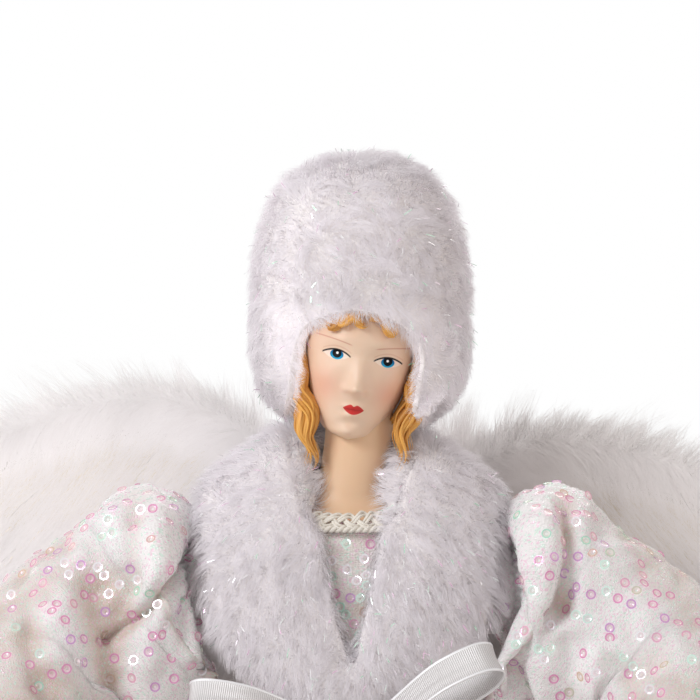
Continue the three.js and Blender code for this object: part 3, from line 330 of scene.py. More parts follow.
class Shader:
    """A node material, built up by short calls. Colours are as seen on a screen, from 0 to 255."""

    def __init__(self, name, **sockets):
        self.material = bpy.data.materials.new(name)
        self.material.use_nodes = True
        self.tree = self.material.node_tree
        self.bsdf = self.tree.nodes["Principled BSDF"]
        self.surface(**sockets)

    def fill(self, target, value):
        """Links a value to a socket, or sets a constant there."""
        if isinstance(value, Value):
            self.tree.links.new(value.socket, target)
        else:
            target.default_value = rgb(*value) if target.type == "RGBA" else value

    def fill_named(self, node, sockets):
        for name, value in sockets.items():
            self.fill(node.inputs[name.replace("_", " ")], value)

    def surface(self, **sockets):
        self.fill_named(self.bsdf, sockets)
        return self.material

    def node(self, kind, output=0, settings=(), **sockets):
        made = self.tree.nodes.new("ShaderNode" + kind)
        for key, value in dict(settings).items():
            setattr(made, key, value)
        self.fill_named(made, sockets)
        return Value(self, made.outputs[output])

    def math(self, operation, *values, clamp=False):
        made = self.tree.nodes.new("ShaderNodeMath")
        made.operation, made.use_clamp = operation, clamp
        for target, value in zip(made.inputs, values):
            self.fill(target, value)
        return Value(self, made.outputs[0])

    def mix(self, share, a, b):
        made = self.tree.nodes.new("ShaderNodeMix")
        made.data_type = "RGBA"
        for index, value in ((0, share), (6, a), (7, b)):
            self.fill(made.inputs[index], value)
        return Value(self, made.outputs[2])

    def value(self, name):
        """A value stored at the mesh's points."""
        return self.node("Attribute", 2, {"attribute_name": name})

    def place(self, scale=None, uv=None):
        """Where a point is: on its own map if named, else in the object."""
        base = self.node("UVMap", 0, {"uv_map": uv}) if uv else self.node("TexCoord", 3)
        return self.node("Mapping", Vector=base, Scale=scale) if scale else base

    def noise(self, vector, scale, detail, roughness=0.55):
        return self.node("TexNoise", Vector=vector, Scale=scale, Detail=detail, Roughness=roughness)

    def ramp(self, share, low, high):
        """0 at low and 1 at high, with a soft passage between."""
        settings = {"interpolation_type": "SMOOTHSTEP", "clamp": True}
        return self.node("MapRange", 0, settings, Value=share, From_Min=low, From_Max=high)

    def bump(self, height, strength, distance):
        normal = self.node("Bump", Height=height, Strength=strength, Distance=distance * MM)
        self.surface(Normal=normal)

    def glow_through(self, share, colour):
        """Lets part of the light pass through a thin hair or film."""
        thin = self.node("BsdfTranslucent", Color=colour)
        both = self.tree.nodes.new("ShaderNodeMixShader")
        both.inputs[0].default_value = share
        self.tree.links.new(self.bsdf.outputs[0], both.inputs[1])
        self.tree.links.new(thin.socket, both.inputs[2])
        self.tree.links.new(both.outputs[0], self.tree.nodes["Material Output"].inputs["Surface"])
        return self.material


def strand_material(name, low, high, glow, **sockets):
    """Pale hairs or barbs, each with its own tone and darker towards the root as painted shade, that let some
    light through.
    """
    s = Shader(name, **sockets)
    colour = s.mix(s.value("tone"), low, high)
    s.surface(Base_Color=colour)
    return s.glow_through(glow, colour)


def two_tone(name, low, high, scale, detail, bump=None, stretch=None, roughness=0.55, polish=None, **sockets):
    """A finish that wanders between two tones. polish is the least roughness and how far it rises."""
    s = Shader(name, **sockets)
    spot = s.noise(s.place(stretch), scale, detail, roughness)
    if bump:
        s.bump(spot, *bump)
    if polish:
        s.surface(Roughness=spot * polish[1] + polish[0])
    return s.surface(Base_Color=s.mix(spot, low, high))


def tinsel_material():
    s = Shader("tinsel", Metallic=0.6, Roughness=0.22)
    tint = s.value("tint")
    warm = s.mix(s.ramp(tint, 0.0, 0.45), (255, 176, 232), (255, 255, 255))
    return s.surface(Base_Color=s.mix(s.ramp(tint, 0.6, 1.0), warm, (170, 255, 205)))


def cloth_material():
    """Fine net over a lining, with specks of film. Where a fold lies deep it turns a warm beige, as painted
    shade.
    """
    s = Shader("sequin_cloth", Specular_IOR_Level=0.4, Sheen_Weight=0.3)
    place = s.place(uv="Cloth")
    weave = s.node("TexVoronoi", Vector=place, Scale=1.9, Randomness=0.55)
    ground = s.mix(s.noise(place, 0.05, 4.0), (240, 235, 234), (250, 248, 249))
    # Painted shade: a warm beige where the cloth lies deep in a fold
    ground = s.mix(s.value("deep") * 0.8, ground, (212, 190, 174))
    glint = s.node("TexVoronoi", 1, Vector=place, Scale=2.1)
    chosen = s.ramp(s.node("SeparateColor", Color=glint), 0.68, 0.76)
    hue = s.node("SeparateColor", 1, Color=glint)
    shine = s.mix(s.ramp(hue, 0.35, 0.65), (247, 205, 226), (214, 242, 228))
    s.bump(weave + s.noise(place, 0.7, 3.0), 0.7, 0.4)
    return s.surface(Base_Color=s.mix(chosen * 0.65, ground, shine), Roughness=0.6 - chosen * 0.45)


SEQUIN_TINTS = (
    (0.42, (212, 164, 214)),
    (0.6, (234, 182, 204)),
    (0.78, (222, 196, 176)),
    (0.88, (180, 232, 208)),
)


def sequin_material():
    """Clear film discs whose edge shows a tint. Some carry a pale coat over the whole disc: a pearly finish
    on a few at random, and a painted glint on those that face the lamp.
    """
    s = Shader("film_sequins", Roughness=0.1, Specular_IOR_Level=1.0, Coat_Weight=1.0, Coat_Roughness=0.05)
    s.surface(Thin_Film_Thickness=430.0, Thin_Film_IOR=1.6)
    tint, rim, pearl_and_glint = s.value("tint"), s.value("rim"), s.value("pearl_and_glint")
    hue = (228, 156, 196)
    for edge, shade in SEQUIN_TINTS:
        hue = s.mix(s.ramp(tint, edge - 0.02, edge + 0.02), hue, shade)
    film = s.mix(rim, s.mix(0.06, (240, 231, 226), hue), hue)
    # A pale colour over the whole disc: a pearly finish on a few, a painted glint on those that face the lamp
    glint_and_pearl_colour = s.mix(s.ramp(tint, 0.5, 0.52), (240, 244, 244), (216, 246, 232))
    colour = s.mix(pearl_and_glint * (rim * 0.7 + 0.3), film, glint_and_pearl_colour)
    s.surface(Base_Color=colour, Metallic=pearl_and_glint * 0.2)
    return s.glow_through(0.3, colour)


def ribbon_material():
    s = Shader("silver_ribbon", Metallic=0.3, Specular_IOR_Level=0.6)
    wave = {"wave_type": "BANDS", "bands_direction": "Y", "wave_profile": "SIN"}
    rib = s.node("TexWave", 1, wave, Vector=s.place(uv="Cloth"), Scale=0.55, Distortion=0.25)
    thread = s.noise(s.place((9.0, 0.6, 1.0), "Cloth"), 1.4, 2.0)
    hem = s.ramp(s.value("edge"), 0.84, 0.9)
    middle = s.mix(rib, (166, 161, 160), (218, 214, 214))
    middle = s.mix(thread * 0.5, middle, (240, 239, 240))
    s.bump(rib * (1.0 - hem), 0.6, 0.2)
    return s.surface(Base_Color=s.mix(hem, middle, (234, 233, 235)), Roughness=thread * 0.35 + 0.3)


def net_material():
    s = Shader("stiff_net", Roughness=0.8, Sheen_Weight=0.2)
    edges = {"feature": "DISTANCE_TO_EDGE"}
    cell = s.node("TexVoronoi", 0, edges, Vector=s.place(uv="Cloth"), Scale=0.7)
    thread = s.ramp(cell, 0.06, 0.16)
    s.bump(thread, 0.5, 0.3)
    return s.surface(Base_Color=s.mix(thread, (250, 248, 244), (216, 210, 202)))


def vane_material():
    """Barbs that slant from the shaft, which shows as a warmer line."""
    s = Shader("feather_vane", Roughness=0.6, Specular_IOR_Level=0.3, Sheen_Weight=0.3)
    place = s.place(uv="Cloth")
    aside, along = abs(s.node("SeparateXYZ", Vector=place)), s.node("SeparateXYZ", 1, Vector=place)
    barb = s.math("SINE", (along - aside * 0.8) * (TAU / 0.7))
    patch = s.noise(s.place((0.06, 0.25, 1.0), "Cloth"), 1.0, 3.0)
    colour = s.mix(patch, (246, 243, 241), (251, 250, 249))
    s.bump(barb + patch * 1.5, 0.35, 0.25)
    s.surface(Base_Color=s.mix(s.ramp(aside, 0.35, 0.75), (244, 237, 227), colour))
    return s.glow_through(0.25, colour)


def hair_material():
    s = Shader("golden_hair", Roughness=0.42, Specular_IOR_Level=0.5)
    streak = s.noise(s.place((1.0, 1.0, 0.16)), 900.0, 3.0)
    share = s.math("ADD", s.value("tone") * 0.75, streak * 0.3, clamp=True)
    s.bump(streak, 0.35, 0.25)
    return s.surface(Base_Color=s.mix(share, (176, 108, 42), (247, 189, 96)))


def painted_doll_material():
    """Flesh tone with the face painted on it, and painted shade on the neck below the chin. face_x and face_z
    are millimetres in the head's frame.
    """
    s = Shader("painted_doll", Subsurface_Weight=0.12, Subsurface_Scale=0.5)
    s.surface(Subsurface_Radius=(0.004, 0.0015, 0.0008))
    x, z, front = s.value("face_x"), s.value("face_z"), s.value("face_front")
    aside = abs(x)
    skin = s.mix(s.noise(s.place(), 160.0, 3.0), (233, 203, 177), (238, 209, 185))

    def distance(u, v):
        return s.math("SQRT", u * u + v * v)

    def paint(under, mask, colour):
        return s.mix(mask * front, under, colour)

    # Blush on the cheeks
    cheek_x, cheek_z = (aside - 8.9) / 4.4, (z + 9.4) / 4.6
    blush = math.e ** ((cheek_x * cheek_x + cheek_z * cheek_z) * -1.0)
    skin = paint(skin, blush * 0.38, (228, 142, 116))
    # Eyes: an almond of white, a blue iris and a dark pupil under a dark lid line
    inward = (aside - 7.4) / 4.0
    arch = s.math("SUBTRACT", 1.0, inward * inward, clamp=True)
    above = z - arch * 1.35
    below = arch * -1.45 - z
    under_lid = s.ramp(above, 0.08, -0.08)
    skin = paint(skin, under_lid * s.ramp(below, 0.15, -0.15) * 0.5, (250, 240, 230))
    iris_x, iris_z = aside - 7.3, (z + 0.05) * 1.38
    iris = s.ramp(distance(iris_x, iris_z), 2.0, 1.85) * under_lid
    skin = paint(skin, iris, s.mix(s.ramp(iris_z, -1.9, 0.9), (48, 170, 212), (16, 110, 164)))
    pupil = s.ramp(distance(iris_x, z - 0.3), 1.36, 1.24) * under_lid
    skin = paint(skin, pupil, (16, 16, 20))
    shine = distance(x - s.math("SIGN", x) * 7.2, z - 0.4)
    skin = paint(skin, s.ramp(shine, 0.4, 0.3), (255, 255, 255))
    reach = s.ramp(abs(inward), 1.08, 0.95)
    skin = paint(skin, s.ramp(abs(above), 0.36, 0.16) * reach, (28, 22, 22))
    crease = s.ramp(abs(above - 1.05), 0.3, 0.1) * reach
    skin = paint(skin, crease * 0.25, (196, 132, 104))
    # Brows: thin arcs, higher at their outer ends
    brow_u = (aside - 8.9) / 6.0
    brow_z = brow_u * 0.6 + 4.25 - brow_u * brow_u * 0.45
    brow = s.ramp(abs(z - brow_z), 0.27, 0.08) * s.ramp(abs(brow_u), 1.0, 0.75)
    skin = paint(skin, brow * 0.6, (196, 126, 106))
    # Mouth: a cupid's bow
    mouth_u, mouth_z, dip_u = aside / 3.05, z + 14.5, aside / 0.62
    round_u = s.math("SUBTRACT", 1.0, mouth_u * mouth_u, clamp=True)
    top = round_u * 1.42 - math.e ** (dip_u * dip_u * -1.0) * 0.62
    bottom = round_u * -1.55
    lips = s.ramp(mouth_z - top, 0.1, -0.1) * s.ramp(bottom - mouth_z, 0.1, -0.1) * s.ramp(mouth_u, 1.0, 0.94)
    parting = s.ramp(abs(mouth_z + 0.12), 0.22, 0.05) * 0.45
    skin = paint(skin, lips, s.mix(parting, (206, 46, 42), (150, 22, 24)))
    # Painted shade: the neck below the chin turns warmer and darker
    skin = s.mix(s.ramp(z, -40.0, -70.0), skin, (236, 199, 164))  # the neck
    s.surface(Roughness=0.44 - lips * 0.14, Specular_IOR_Level=0.4 - iris * 0.32)
    return s.surface(Base_Color=skin)


FUR_FINISH = {"Roughness": 0.75, "Specular_IOR_Level": 0.2, "Sheen_Weight": 0.15}
fur = strand_material("white_pile", (214, 206, 208), (246, 243, 246), 0.35, **FUR_FINISH)
DOWN_FINISH = {"Roughness": 0.85, "Specular_IOR_Level": 0.15}
down = strand_material("down", (231, 225, 223), (248, 246, 246), 0.42, **DOWN_FINISH)
BACKING_FINISH = {"bump": (0.6, 0.6), "Roughness": 0.95, "Specular_IOR_Level": 0.1}
backing = two_tone("pile_backing", (232, 224, 222), (250, 247, 247), 900.0, 2.0, **BACKING_FINISH)
tinsel, vane, hair = tinsel_material(), vane_material(), hair_material()
cloth, sequin, ribbon = cloth_material(), sequin_material(), ribbon_material()

# Hairs and barbs

MOST_TRIANGLES = 190000  # in one mesh of hairs
PILE_HAIRS, PILE_TUFT, TINSEL_THREADS = 75000, 40, 900
PILE_INSET = 2.7  # how far the backing lies inside the solid's surface
BY_FACE, BY_FACE_REACH = [HEAD_ASIDE, -20, EYE_Z - 7], [24, 12, 23]


def strand_lines(roots, out, comb, lengths, bend, rng, segments, wave=0.04):
    """Middle lines of hairs that leave along out and bend towards comb."""
    t = np.linspace(0, 1, segments + 1)[None, :, None]
    bend = np.broadcast_to(bend, len(roots))[:, None, None]
    rise = out[:, None] * (t * (1 - 0.45 * bend * t)) + comb[:, None] * (bend * t**2)
    aside = unit(rng.normal(size=(len(roots), 1, 3)))
    sway = aside * np.sin(TAU * (t * 0.8 + rng.random((len(roots), 1, 1))))
    return roots[:, None] + lengths[:, None, None] * (rise + wave * sway * t)


def clumped(lines, roots, every, share, rng):
    """Draws the ends of hairs towards the hair in the middle of their tuft."""
    heads = rng.choice(len(roots), max(1, len(roots) // every), replace=False)
    tree = KDTree(len(heads))
    for k, h in enumerate(heads):
        tree.insert(roots[h], k)
    tree.balance()
    own = np.array([heads[tree.find(r)[1]] for r in roots])
    t = np.linspace(0, 1, lines.shape[1])[None, :, None]
    return lines + share[:, None, None] * t**1.6 * (lines[own] - lines)


def strands(name, lines, width, out, look, rng, tip, shading, **hair_values):
    """Hairs as strips in meshes of a size that can be exported. The first share of them casts shadows."""
    count, steps = lines.shape[:2]
    most = MOST_TRIANGLES // (2 * (steps - 1))
    width = np.broadcast_to(width, count)
    cut = int(shading * count)
    starts = [*range(0, cut, most), *range(cut, count, most)]
    for part, (start, end) in enumerate(zip(starts, [*starts[1:], count])):
        own = slice(start, end)
        values = {key: each[own] for key, each in hair_values.items()}
        made = strip_mesh(f"{name}_{part + 1}", lines[own], width[own], out[own], look, rng, tip, values)
        made.visible_shadow = start < cut


def strip_mesh(name, lines, width, out, look, rng, tip, values):
    """Hairs as tapered flat strips that face out, each with its own cell in the map."""
    n, steps = lines.shape[:2]
    t = np.linspace(0, 1, steps)
    along = unit(np.gradient(lines, axis=1))
    facing = unit(out + 0.3 * rng.normal(size=out.shape))[:, None]
    side = unit(np.cross(along, facing))
    half = 0.5 * width[:, None, None] * lerp(1, tip, t**1.4)[None, :, None]
    points = np.stack([lines - side * half, lines + side * half], 2).reshape(-1, 3)
    base = (np.arange(n) * steps * 2)[:, None, None]
    k = (np.arange(steps - 1) * 2)[None, :, None]
    quads = (base + k + np.array([0, 1, 3, 2])).reshape(-1, 4)
    corner, cells = map_cells(n)
    in_cell = np.stack(np.broadcast_arrays([[0.2, 0.8]], lerp(0.15, 0.85, t)[:, None]), -1)
    uv = ((corner + in_cell) / cells).reshape(-1, 2)
    values = {key: np.repeat(each, steps * 2) for key, each in values.items()}
    # Painted shade: each hair darkens towards its root, where the hairs shade each other
    if "tone" in values:
        values["tone"] = values["tone"] * np.tile(np.repeat(lerp(0.7, 1.0, t), 2), n)  # darker at the root
    made = piece(name, points, quads, look, (), uv, "OFBake", **values)
    normals = unit(0.7 * out[:, None] + 0.3 * np.cross(side, along))
    made.data.normals_split_custom_set_from_vertices(np.repeat(normals.reshape(-1, 3), 2, axis=0))
    return made


def smooth_copy(node):
    """A CAD node's mesh, remeshed evenly, smoothed and drawn in: (points, triangles, normals)."""
    probe = bpy.data.objects.new("probe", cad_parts[node].data.copy())
    bpy.context.scene.collection.objects.link(probe)
    modify(probe, "even", "REMESH", mode="VOXEL", voxel_size=1.2 * MM)
    modify(probe, "soft", "SMOOTH", factor=0.5, iterations=5)
    modify(probe, "inset", "DISPLACE", strength=-PILE_INSET * MM, mid_level=0.0)
    modify(probe, "settle", "SMOOTH", factor=0.5, iterations=3)
    evaluated = probe.evaluated_get(bpy.context.evaluated_depsgraph_get())
    mesh = evaluated.to_mesh()
    mesh.calc_loop_triangles()

    def read(rows, key, kind):
        values = np.zeros(len(rows) * 3, kind)
        rows.foreach_get(key, values)
        return values.reshape(-1, 3)

    points, normals = (read(mesh.vertices, key, np.float32) for key in ("co", "normal"))
    triangles = read(mesh.loop_triangles, "vertices", np.int32)
    evaluated.to_mesh_clear()
    bpy.data.objects.remove(probe)
    return points / MM, triangles, normals


def point_normals(points, faces):
    """Normals at the points of a mesh of triangles or of quads."""
    a, b, c, d = (points[faces[:, i]] for i in (0, 1, 2, -1))
    across = np.cross(c - a, d - b) if faces.shape[1] == 4 else np.cross(b - a, c - a)
    total = np.zeros_like(points)
    for i in range(faces.shape[1]):
        np.add.at(total, faces[:, i], across)
    return unit(total)


def scatter(points, triangles, normals, count, rng):
    """Points spread evenly over a surface, with the normals there."""
    a, b, c = (points[triangles[:, i]] for i in range(3))
    area = np.linalg.norm(np.cross(b - a, c - a), axis=1)
    pick = rng.choice(len(area), count, p=area / area.sum())
    u, v = rng.random((2, count, 1))
    u, v = np.where(u + v > 1, 1 - u, u), np.where(u + v > 1, 1 - v, v)
    na, nb, nc = (normals[triangles[pick, i]] for i in range(3))
    place = a[pick] + u * (b[pick] - a[pick]) + v * (c[pick] - a[pick])
    return place, unit(na + u * (nb - na) + v * (nc - na))


def in_the_open(points, normals, nodes, reach):
    """Which points have no surface of these CAD nodes in front of them within reach."""
    corners, faces = [], []
    for node in nodes:
        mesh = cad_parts[node].data
        start = len(corners)
        corners += [v.co / MM for v in mesh.vertices]
        faces += [[start + i for i in p.vertices] for p in mesh.polygons]
    tree = BVHTree.FromPolygons(corners, faces)
    hits = (tree.ray_cast(Vector(p), Vector(n), reach) for p, n in zip(points, normals))
    return np.array([hit[0] is None for hit in hits])


def pile(name, node, length, clear_of, comb_at, fuller_at=None):
    """A fur piece: its backing, its pile and its tinsel."""
    rng = rng_for(name)
    points, triangles, normals = smooth_copy(node)
    if fuller_at:
        points = points + fuller_at(points, normals)
        normals = point_normals(points, triangles)
    made = piece(name + "_backing", points, triangles, (backing, "figure", "fur"), [node])
    roots, out = scatter(points, triangles, normals, PILE_HAIRS, rng)
    free = in_the_open(roots, out, clear_of, 0.12 * length)
    roots, out = roots[free], out[free]
    by_face = (np.abs(roots - BY_FACE) < BY_FACE_REACH).all(1)
    order = np.argsort(by_face, kind="stable")  # hairs round the face come last and cast no shadow on it
    roots, out = roots[order], out[order]
    comb = comb_at(roots)
    comb = unit(comb - (comb * out).sum(1, keepdims=True) * out)
    many = len(roots)
    long = length * rng.uniform(0.75, 1.2, many)
    leave = unit(out + 0.3 * rng.normal(size=out.shape))
    lines = strand_lines(roots, leave, comb, long, rng.uniform(0.55, 1.0, many), rng, 3)
    lines = clumped(lines, roots, PILE_TUFT, rng.uniform(0.25, 0.7, many), rng)
    width, tone = rng.uniform(0.11, 0.2, many), rng.uniform(0.7, 1.0, many)
    strands(name + "_pile", lines, width, out, (fur, "figure", "fur"), rng, 0.12, 0.32, tone=tone)
    some = rng.choice(many, TINSEL_THREADS, replace=False)
    apart = unit(leave[some] + comb[some] + 0.5 * rng.normal(size=(TINSEL_THREADS, 3)))
    starts = roots[some] + out[some] * (length * rng.uniform(0.35, 0.6, (TINSEL_THREADS, 1)))
    short = rng.uniform(1.2, 2.6, TINSEL_THREADS)
    straight = strand_lines(starts, apart, comb[some], short, 0.3, rng, 2, wave=0.0)
    tint = rng.random(TINSEL_THREADS)
    strands(name + "_tinsel", straight, 0.14, out[some], (tinsel, "figure", "fur"), rng, 0.9, 0.0, tint=tint)
    return made


# Body and head

head_turn = rotation("y", HEAD_ROLL) @ rotation("x", HEAD_NOD)
head_place = np.array([HEAD_ASIDE, 0, EYE_Z])
NECK_SHARES = ((0.15, 0.92), (0.28, 0.69), (0.38, 0.35), (0.46, 0.12), (0.58, 0.02), (0.8, 0))


def plate_z(share):
    return lerp(SHOULDER_Z, NECK_TOP_Z, share)


def neckward(share):
    return lerp(np.full(3, NECK_RADIUS), SHOULDER, share)


def neck_lean(z):
    """How far the neck's middle lies aside at a height."""
    return HEAD_ASIDE * ease((z - plate_z(0.4)) / (NECK_TOP_Z - plate_z(0.4)))


# Height, half the width, and the depth in front and behind
body_at = through(
    [
        [WAIST_Z, *WAIST],
        [WAIST_Z + 0.27 * BODICE_HEIGHT, 22.5, 18.4, 17.2],
        [WAIST_Z + 0.6 * BODICE_HEIGHT, 26.5, 22, 18],
        [WAIST_Z + 0.81 * BODICE_HEIGHT, 30, 19.5, 18],
        [SHOULDER_Z, *SHOULDER],
        *([plate_z(up), *neckward(share)] for up, share in NECK_SHARES),
        [NECK_TOP_Z, *neckward(0)],
    ]
)


def body_point(z, angle, grow):
    """Points on the body's outline at heights z and angles, grown by an offset."""
    z, angle = np.broadcast_arrays(np.asarray(z, float), np.asarray(angle, float))
    size = body_at(z.ravel()).reshape(*z.shape, 3)
    depth = np.where(np.sin(angle) < 0, size[..., 1], size[..., 2])
    x = neck_lean(z) + (size[..., 0] + grow) * np.cos(angle)
    return np.stack([x, (depth + grow) * np.sin(angle), z], -1)


# Height as a share of the head's, and the shares of its width, front and back there
head_at = through(
    [
        [-0.5, 0.1, 0.62, -0.3],
        [-0.475, 0.38, 0.78, 0.06],
        [-0.41, 0.58, 0.88, 0.3],
        [-0.32, 0.75, 0.92, 0.5],
        [-0.23, 0.87, 0.95, 0.68],
        [-0.12, 0.96, 0.98, 0.88],
        [0, 1, 1, 1],
        [0.12, 1, 1, 1.01],
        [0.26, 0.92, 0.93, 0.93],
        [0.38, 0.74, 0.74, 0.74],
        [0.46, 0.48, 0.48, 0.48],
        [0.497, 0.12, 0.12, 0.12],
    ]
)
# Place aside and up, how far forward, half the width and half the height
FACE_RELIEF = [
    [7.2, 0.2, -1.5, 3.6, 2.2],
    [7.2, -0.3, 0.7, 2.4, 1.5],
    [6.5, 4.6, 0.5, 4, 1.6],
    [8.8, -6.5, 0.7, 4, 3.6],
    [0, -13.9, 0.9, 2.6, 0.9],
    [0, -16.2, 1, 2.2, 0.9],
    [0, -18.6, -0.7, 3, 1],
    [0, -21.2, 1, 3.2, 1.8],
    [0, -8.3, 0.9, 1.7, 1.5],
    [2.5, -8.9, 0.9, 1.1, 1.0],
]


def face_relief(x, z):
    """How far the face stands forward: eyes, cheeks, mouth and chin, and a nose a little aside."""
    aside = np.abs(x)
    relief = np.zeros_like(x)
    for u0, w0, reach, wide, tall in FACE_RELIEF:
        relief += reach * np.exp(-(((aside - u0) / wide) ** 2) - ((z - w0) / tall) ** 2)
    fall = (1 - z) / 9.6
    ridge = np.clip(fall, 0, 1) * np.where(fall > 1, bell((fall - 1) / 0.2), 1)
    beside = np.abs(x - 0.9)
    return relief + 3.9 * ridge * np.exp(-((beside / (2.2 + 0.8 * ridge)) ** 2.1))


def head_grid(levels, sides, grow=0.0, face=True):
    """The head in its own frame: points, quads and which points look to the front."""
    share = lerp(-0.497, 0.495, 0.5 - 0.5 * np.cos(np.linspace(0, math.pi, levels)))
    size = head_at(share)[:, None, :]
    z = (share * (HEAD_HEIGHT + 2 * grow))[:, None] + np.zeros((1, sides))
    angle = all_round(sides)[None, :]
    turn = angle - 0.5 * np.cos(angle)
    x = (size[..., 0] * HEAD_WIDTH / 2 + grow) * np.cos(turn)
    facing = np.sin(turn) < 0
    depth = np.where(facing, size[..., 1] * HEAD_FRONT, size[..., 2] * HEAD_BACK)
    y = (depth + grow) * np.sin(turn)
    if face:
        y = np.where(facing, y + face_relief(x, z) * np.sin(turn), y)
    points = np.stack([x, y, z], -1).reshape(-1, 3)
    return points, grid_quads(levels, sides, wrap=True), np.broadcast_to(facing, x.shape).ravel()


def in_head(points):
    """From the head's frame to the part's."""
    return points @ head_turn.T + head_place


def make_bust():
    """The doll's head, neck and shoulder plate in one piece."""
    points, quads, facing = head_grid(150, 150)
    neck_z = np.concatenate([np.linspace(SHOULDER_Z, NECK_TOP_Z, 50), [NECK_TOP_Z + 2, NECK_TOP_Z + 4]])
    neck_sides = 96
    neck = body_point(neck_z[:, None], all_round(neck_sides)[None], 0.0).reshape(-1, 3)
    neck_quads = grid_quads(len(neck_z), neck_sides, wrap=True)
    both, all_quads = join_grids([(in_head(points), quads), (neck, neck_quads)])
    painted = (points - [PAINT_ASIDE, 0, 0]) @ rotation("y", PAINT_ROLL)
    unpainted = np.zeros(len(neck))
    values = {
        "face_x": np.concatenate([painted[:, 0], unpainted + 50]),
        # The neck's points sit far below the face, where the doll's material lays its painted neck shade
        "face_z": np.concatenate([painted[:, 2], unpainted - 80]),
        "face_front": np.concatenate([facing, unpainted]),
    }
    look = (painted_doll_material(), "figure", "doll")
    piece("doll_bust", both, outward(both, all_quads), look, ["bust_head"], **values)


# Hair

HAIR_LOOK = (hair, "figure", "hair")
# Turn round the head, height, and half the width of each curl over the brow
FRINGE = [[-1.02, 7.8, 0.2], [-0.56, 9.2, 0.26], [-0.2, 10.4, 0.3], [0.52, 9.6, 0.18]]


def bundle(name, line, radii, count, strand, wave, upright, replaces=()):
    """A lock of wavy strands that keep together and end in points, one after another."""
    rng = rng_for(name)
    t = np.linspace(0, 1, len(line))
    across, up = frames_along(line, upright)
    parts, tones = [], []
    for k in range(count):
        start = TAU * k / count
        angle = start + 0.5 * math.pi * t + 0.15 * rng.normal()
        stray = k % 3 == 0
        reach = radii * (rng.uniform(0.7, 1.15) if stray else rng.uniform(0.4, 0.8))
        phase = TAU * (2.6 * t + 0.1 * math.sin(start)) + rng.normal(0, 0.6)
        swing = wave * np.sin(phase) * ease(2.5 * t)
        aside, rise = reach * np.cos(angle) + swing, reach * np.sin(angle)
        rod = line + across * aside[:, None] + up * rise[:, None]
        end = rng.uniform(0.72, 1.0)
        kept = t <= end
        taper = strand * (0.4 if stray else 1) * (0.5 + 0.5 * ease(4 * t)) * ease((end - t) / 0.4)
        parts.append(pipe(rod[kept], np.maximum(taper[kept], 0.05), 7, upright=upright))
        tones.append(np.full(len(parts[-1][0]), rng.uniform(0.35, 1.0)))
    points, quads = join_grids(parts)
    piece(name, points, quads, HAIR_LOOK, replaces, tone=np.concatenate(tones))


def make_hair():
    """Two locks beside the face, a cap under the hat and curls over the brow."""
    t = np.linspace(0, 1, 48)
    for side, word in SIDES:
        line = [
            in_head(np.array([side * (HEAD_WIDTH / 2 + 3.7), -0.35 * HEAD_FRONT, 2.0])),
            [HEAD_ASIDE + side * 16.6, -8, EYE_Z - 10.2],
            [0.7 * HEAD_ASIDE + side * 13.6, -9, EYE_Z - 22.1],
            [0.5 * HEAD_ASIDE + side * 12.4, -9.5, EYE_Z - 34],
        ]
        node = "hair_lock_" + word
        radii = 3.2 * (0.75 + 0.5 * t - 0.9 * t**3)
        bundle(node + "_strands", catmull(line, t), radii, 42, 0.95, 1.1, (0, 1, 0), [node])
    # The cap under the hat, above a line from the brow down to the nape
    points, quads, _ = head_grid(60, 90, GAP + 1.0, face=False)
    brow, y = 10.6, points[:, 1]
    edge = brow + (y + HEAD_FRONT) * -(brow + 9) / (HEAD_FRONT + HEAD_BACK)
    edge -= 22 * ease((y + 9) / 4) * ease((6 - y) / 4)  # over the ears
    kept = (points[quads][:, :, 2] > edge[quads]).all(1)
    tone = np.full(len(points), 0.5)
    thicken(piece("wig_cap_hair", in_head(points), quads[kept], HAIR_LOOK, ["wig_cap"], tone=tone), 1.2)
    spread = np.linspace(-1, 1, 20)
    radii = 1.6 * np.sin(math.pi * (0.15 + 0.8 * np.linspace(0, 1, 20)))
    for i, (turn, height, reach) in enumerate(FRINGE):
        sweep = turn + reach * spread
        rise = height + np.cos(1.5 * math.pi * spread) * (-1) ** i
        aside, forward = HEAD_WIDTH / 2 * 1.03 * np.sin(sweep), HEAD_FRONT * 1.05 * np.cos(sweep)
        line = in_head(np.stack([aside, -forward, rise], 1))
        bundle(f"fringe_curl_{i}", line, radii, 14, 0.7, 0.3, (0, 0, 1))


# Fur hat and stole


def hat_comb(roots):
    """Across the crown, down the sides and over the brow, with locks that stray."""
    above = ease((roots[:, 2:] - EYE_Z - 16) / 12)
    away = (roots - [3.0, 4.0, 0]) * [1.0, 1, 0]
    lie = np.array([0.0, -0.2, -0.45]) + above * [0.3, 0, 0.1]
    return lie + 0.012 * away + 1.3 * drift(roots, 8, 1.0, 5.0, 9.0)


def stole_comb(roots):
    """Down and outwards, but up to the neck along the edge beside it."""
    from_neck = np.hypot(roots[:, 0] - 2, roots[:, 1])
    inward = (ease((24 - from_neck) / 8) * (roots[:, 2] > SHOULDER_Z))[:, None]
    away = roots - [0.0, 0, SHOULDER_Z + 30]
    fall = np.array([0.0, -0.1, -0.5]) * (1 - 0.6 * inward)
    return (0.015 - 0.04 * inward) * away + fall + drift(roots, 10, 2.0, 6.0, 8.0)


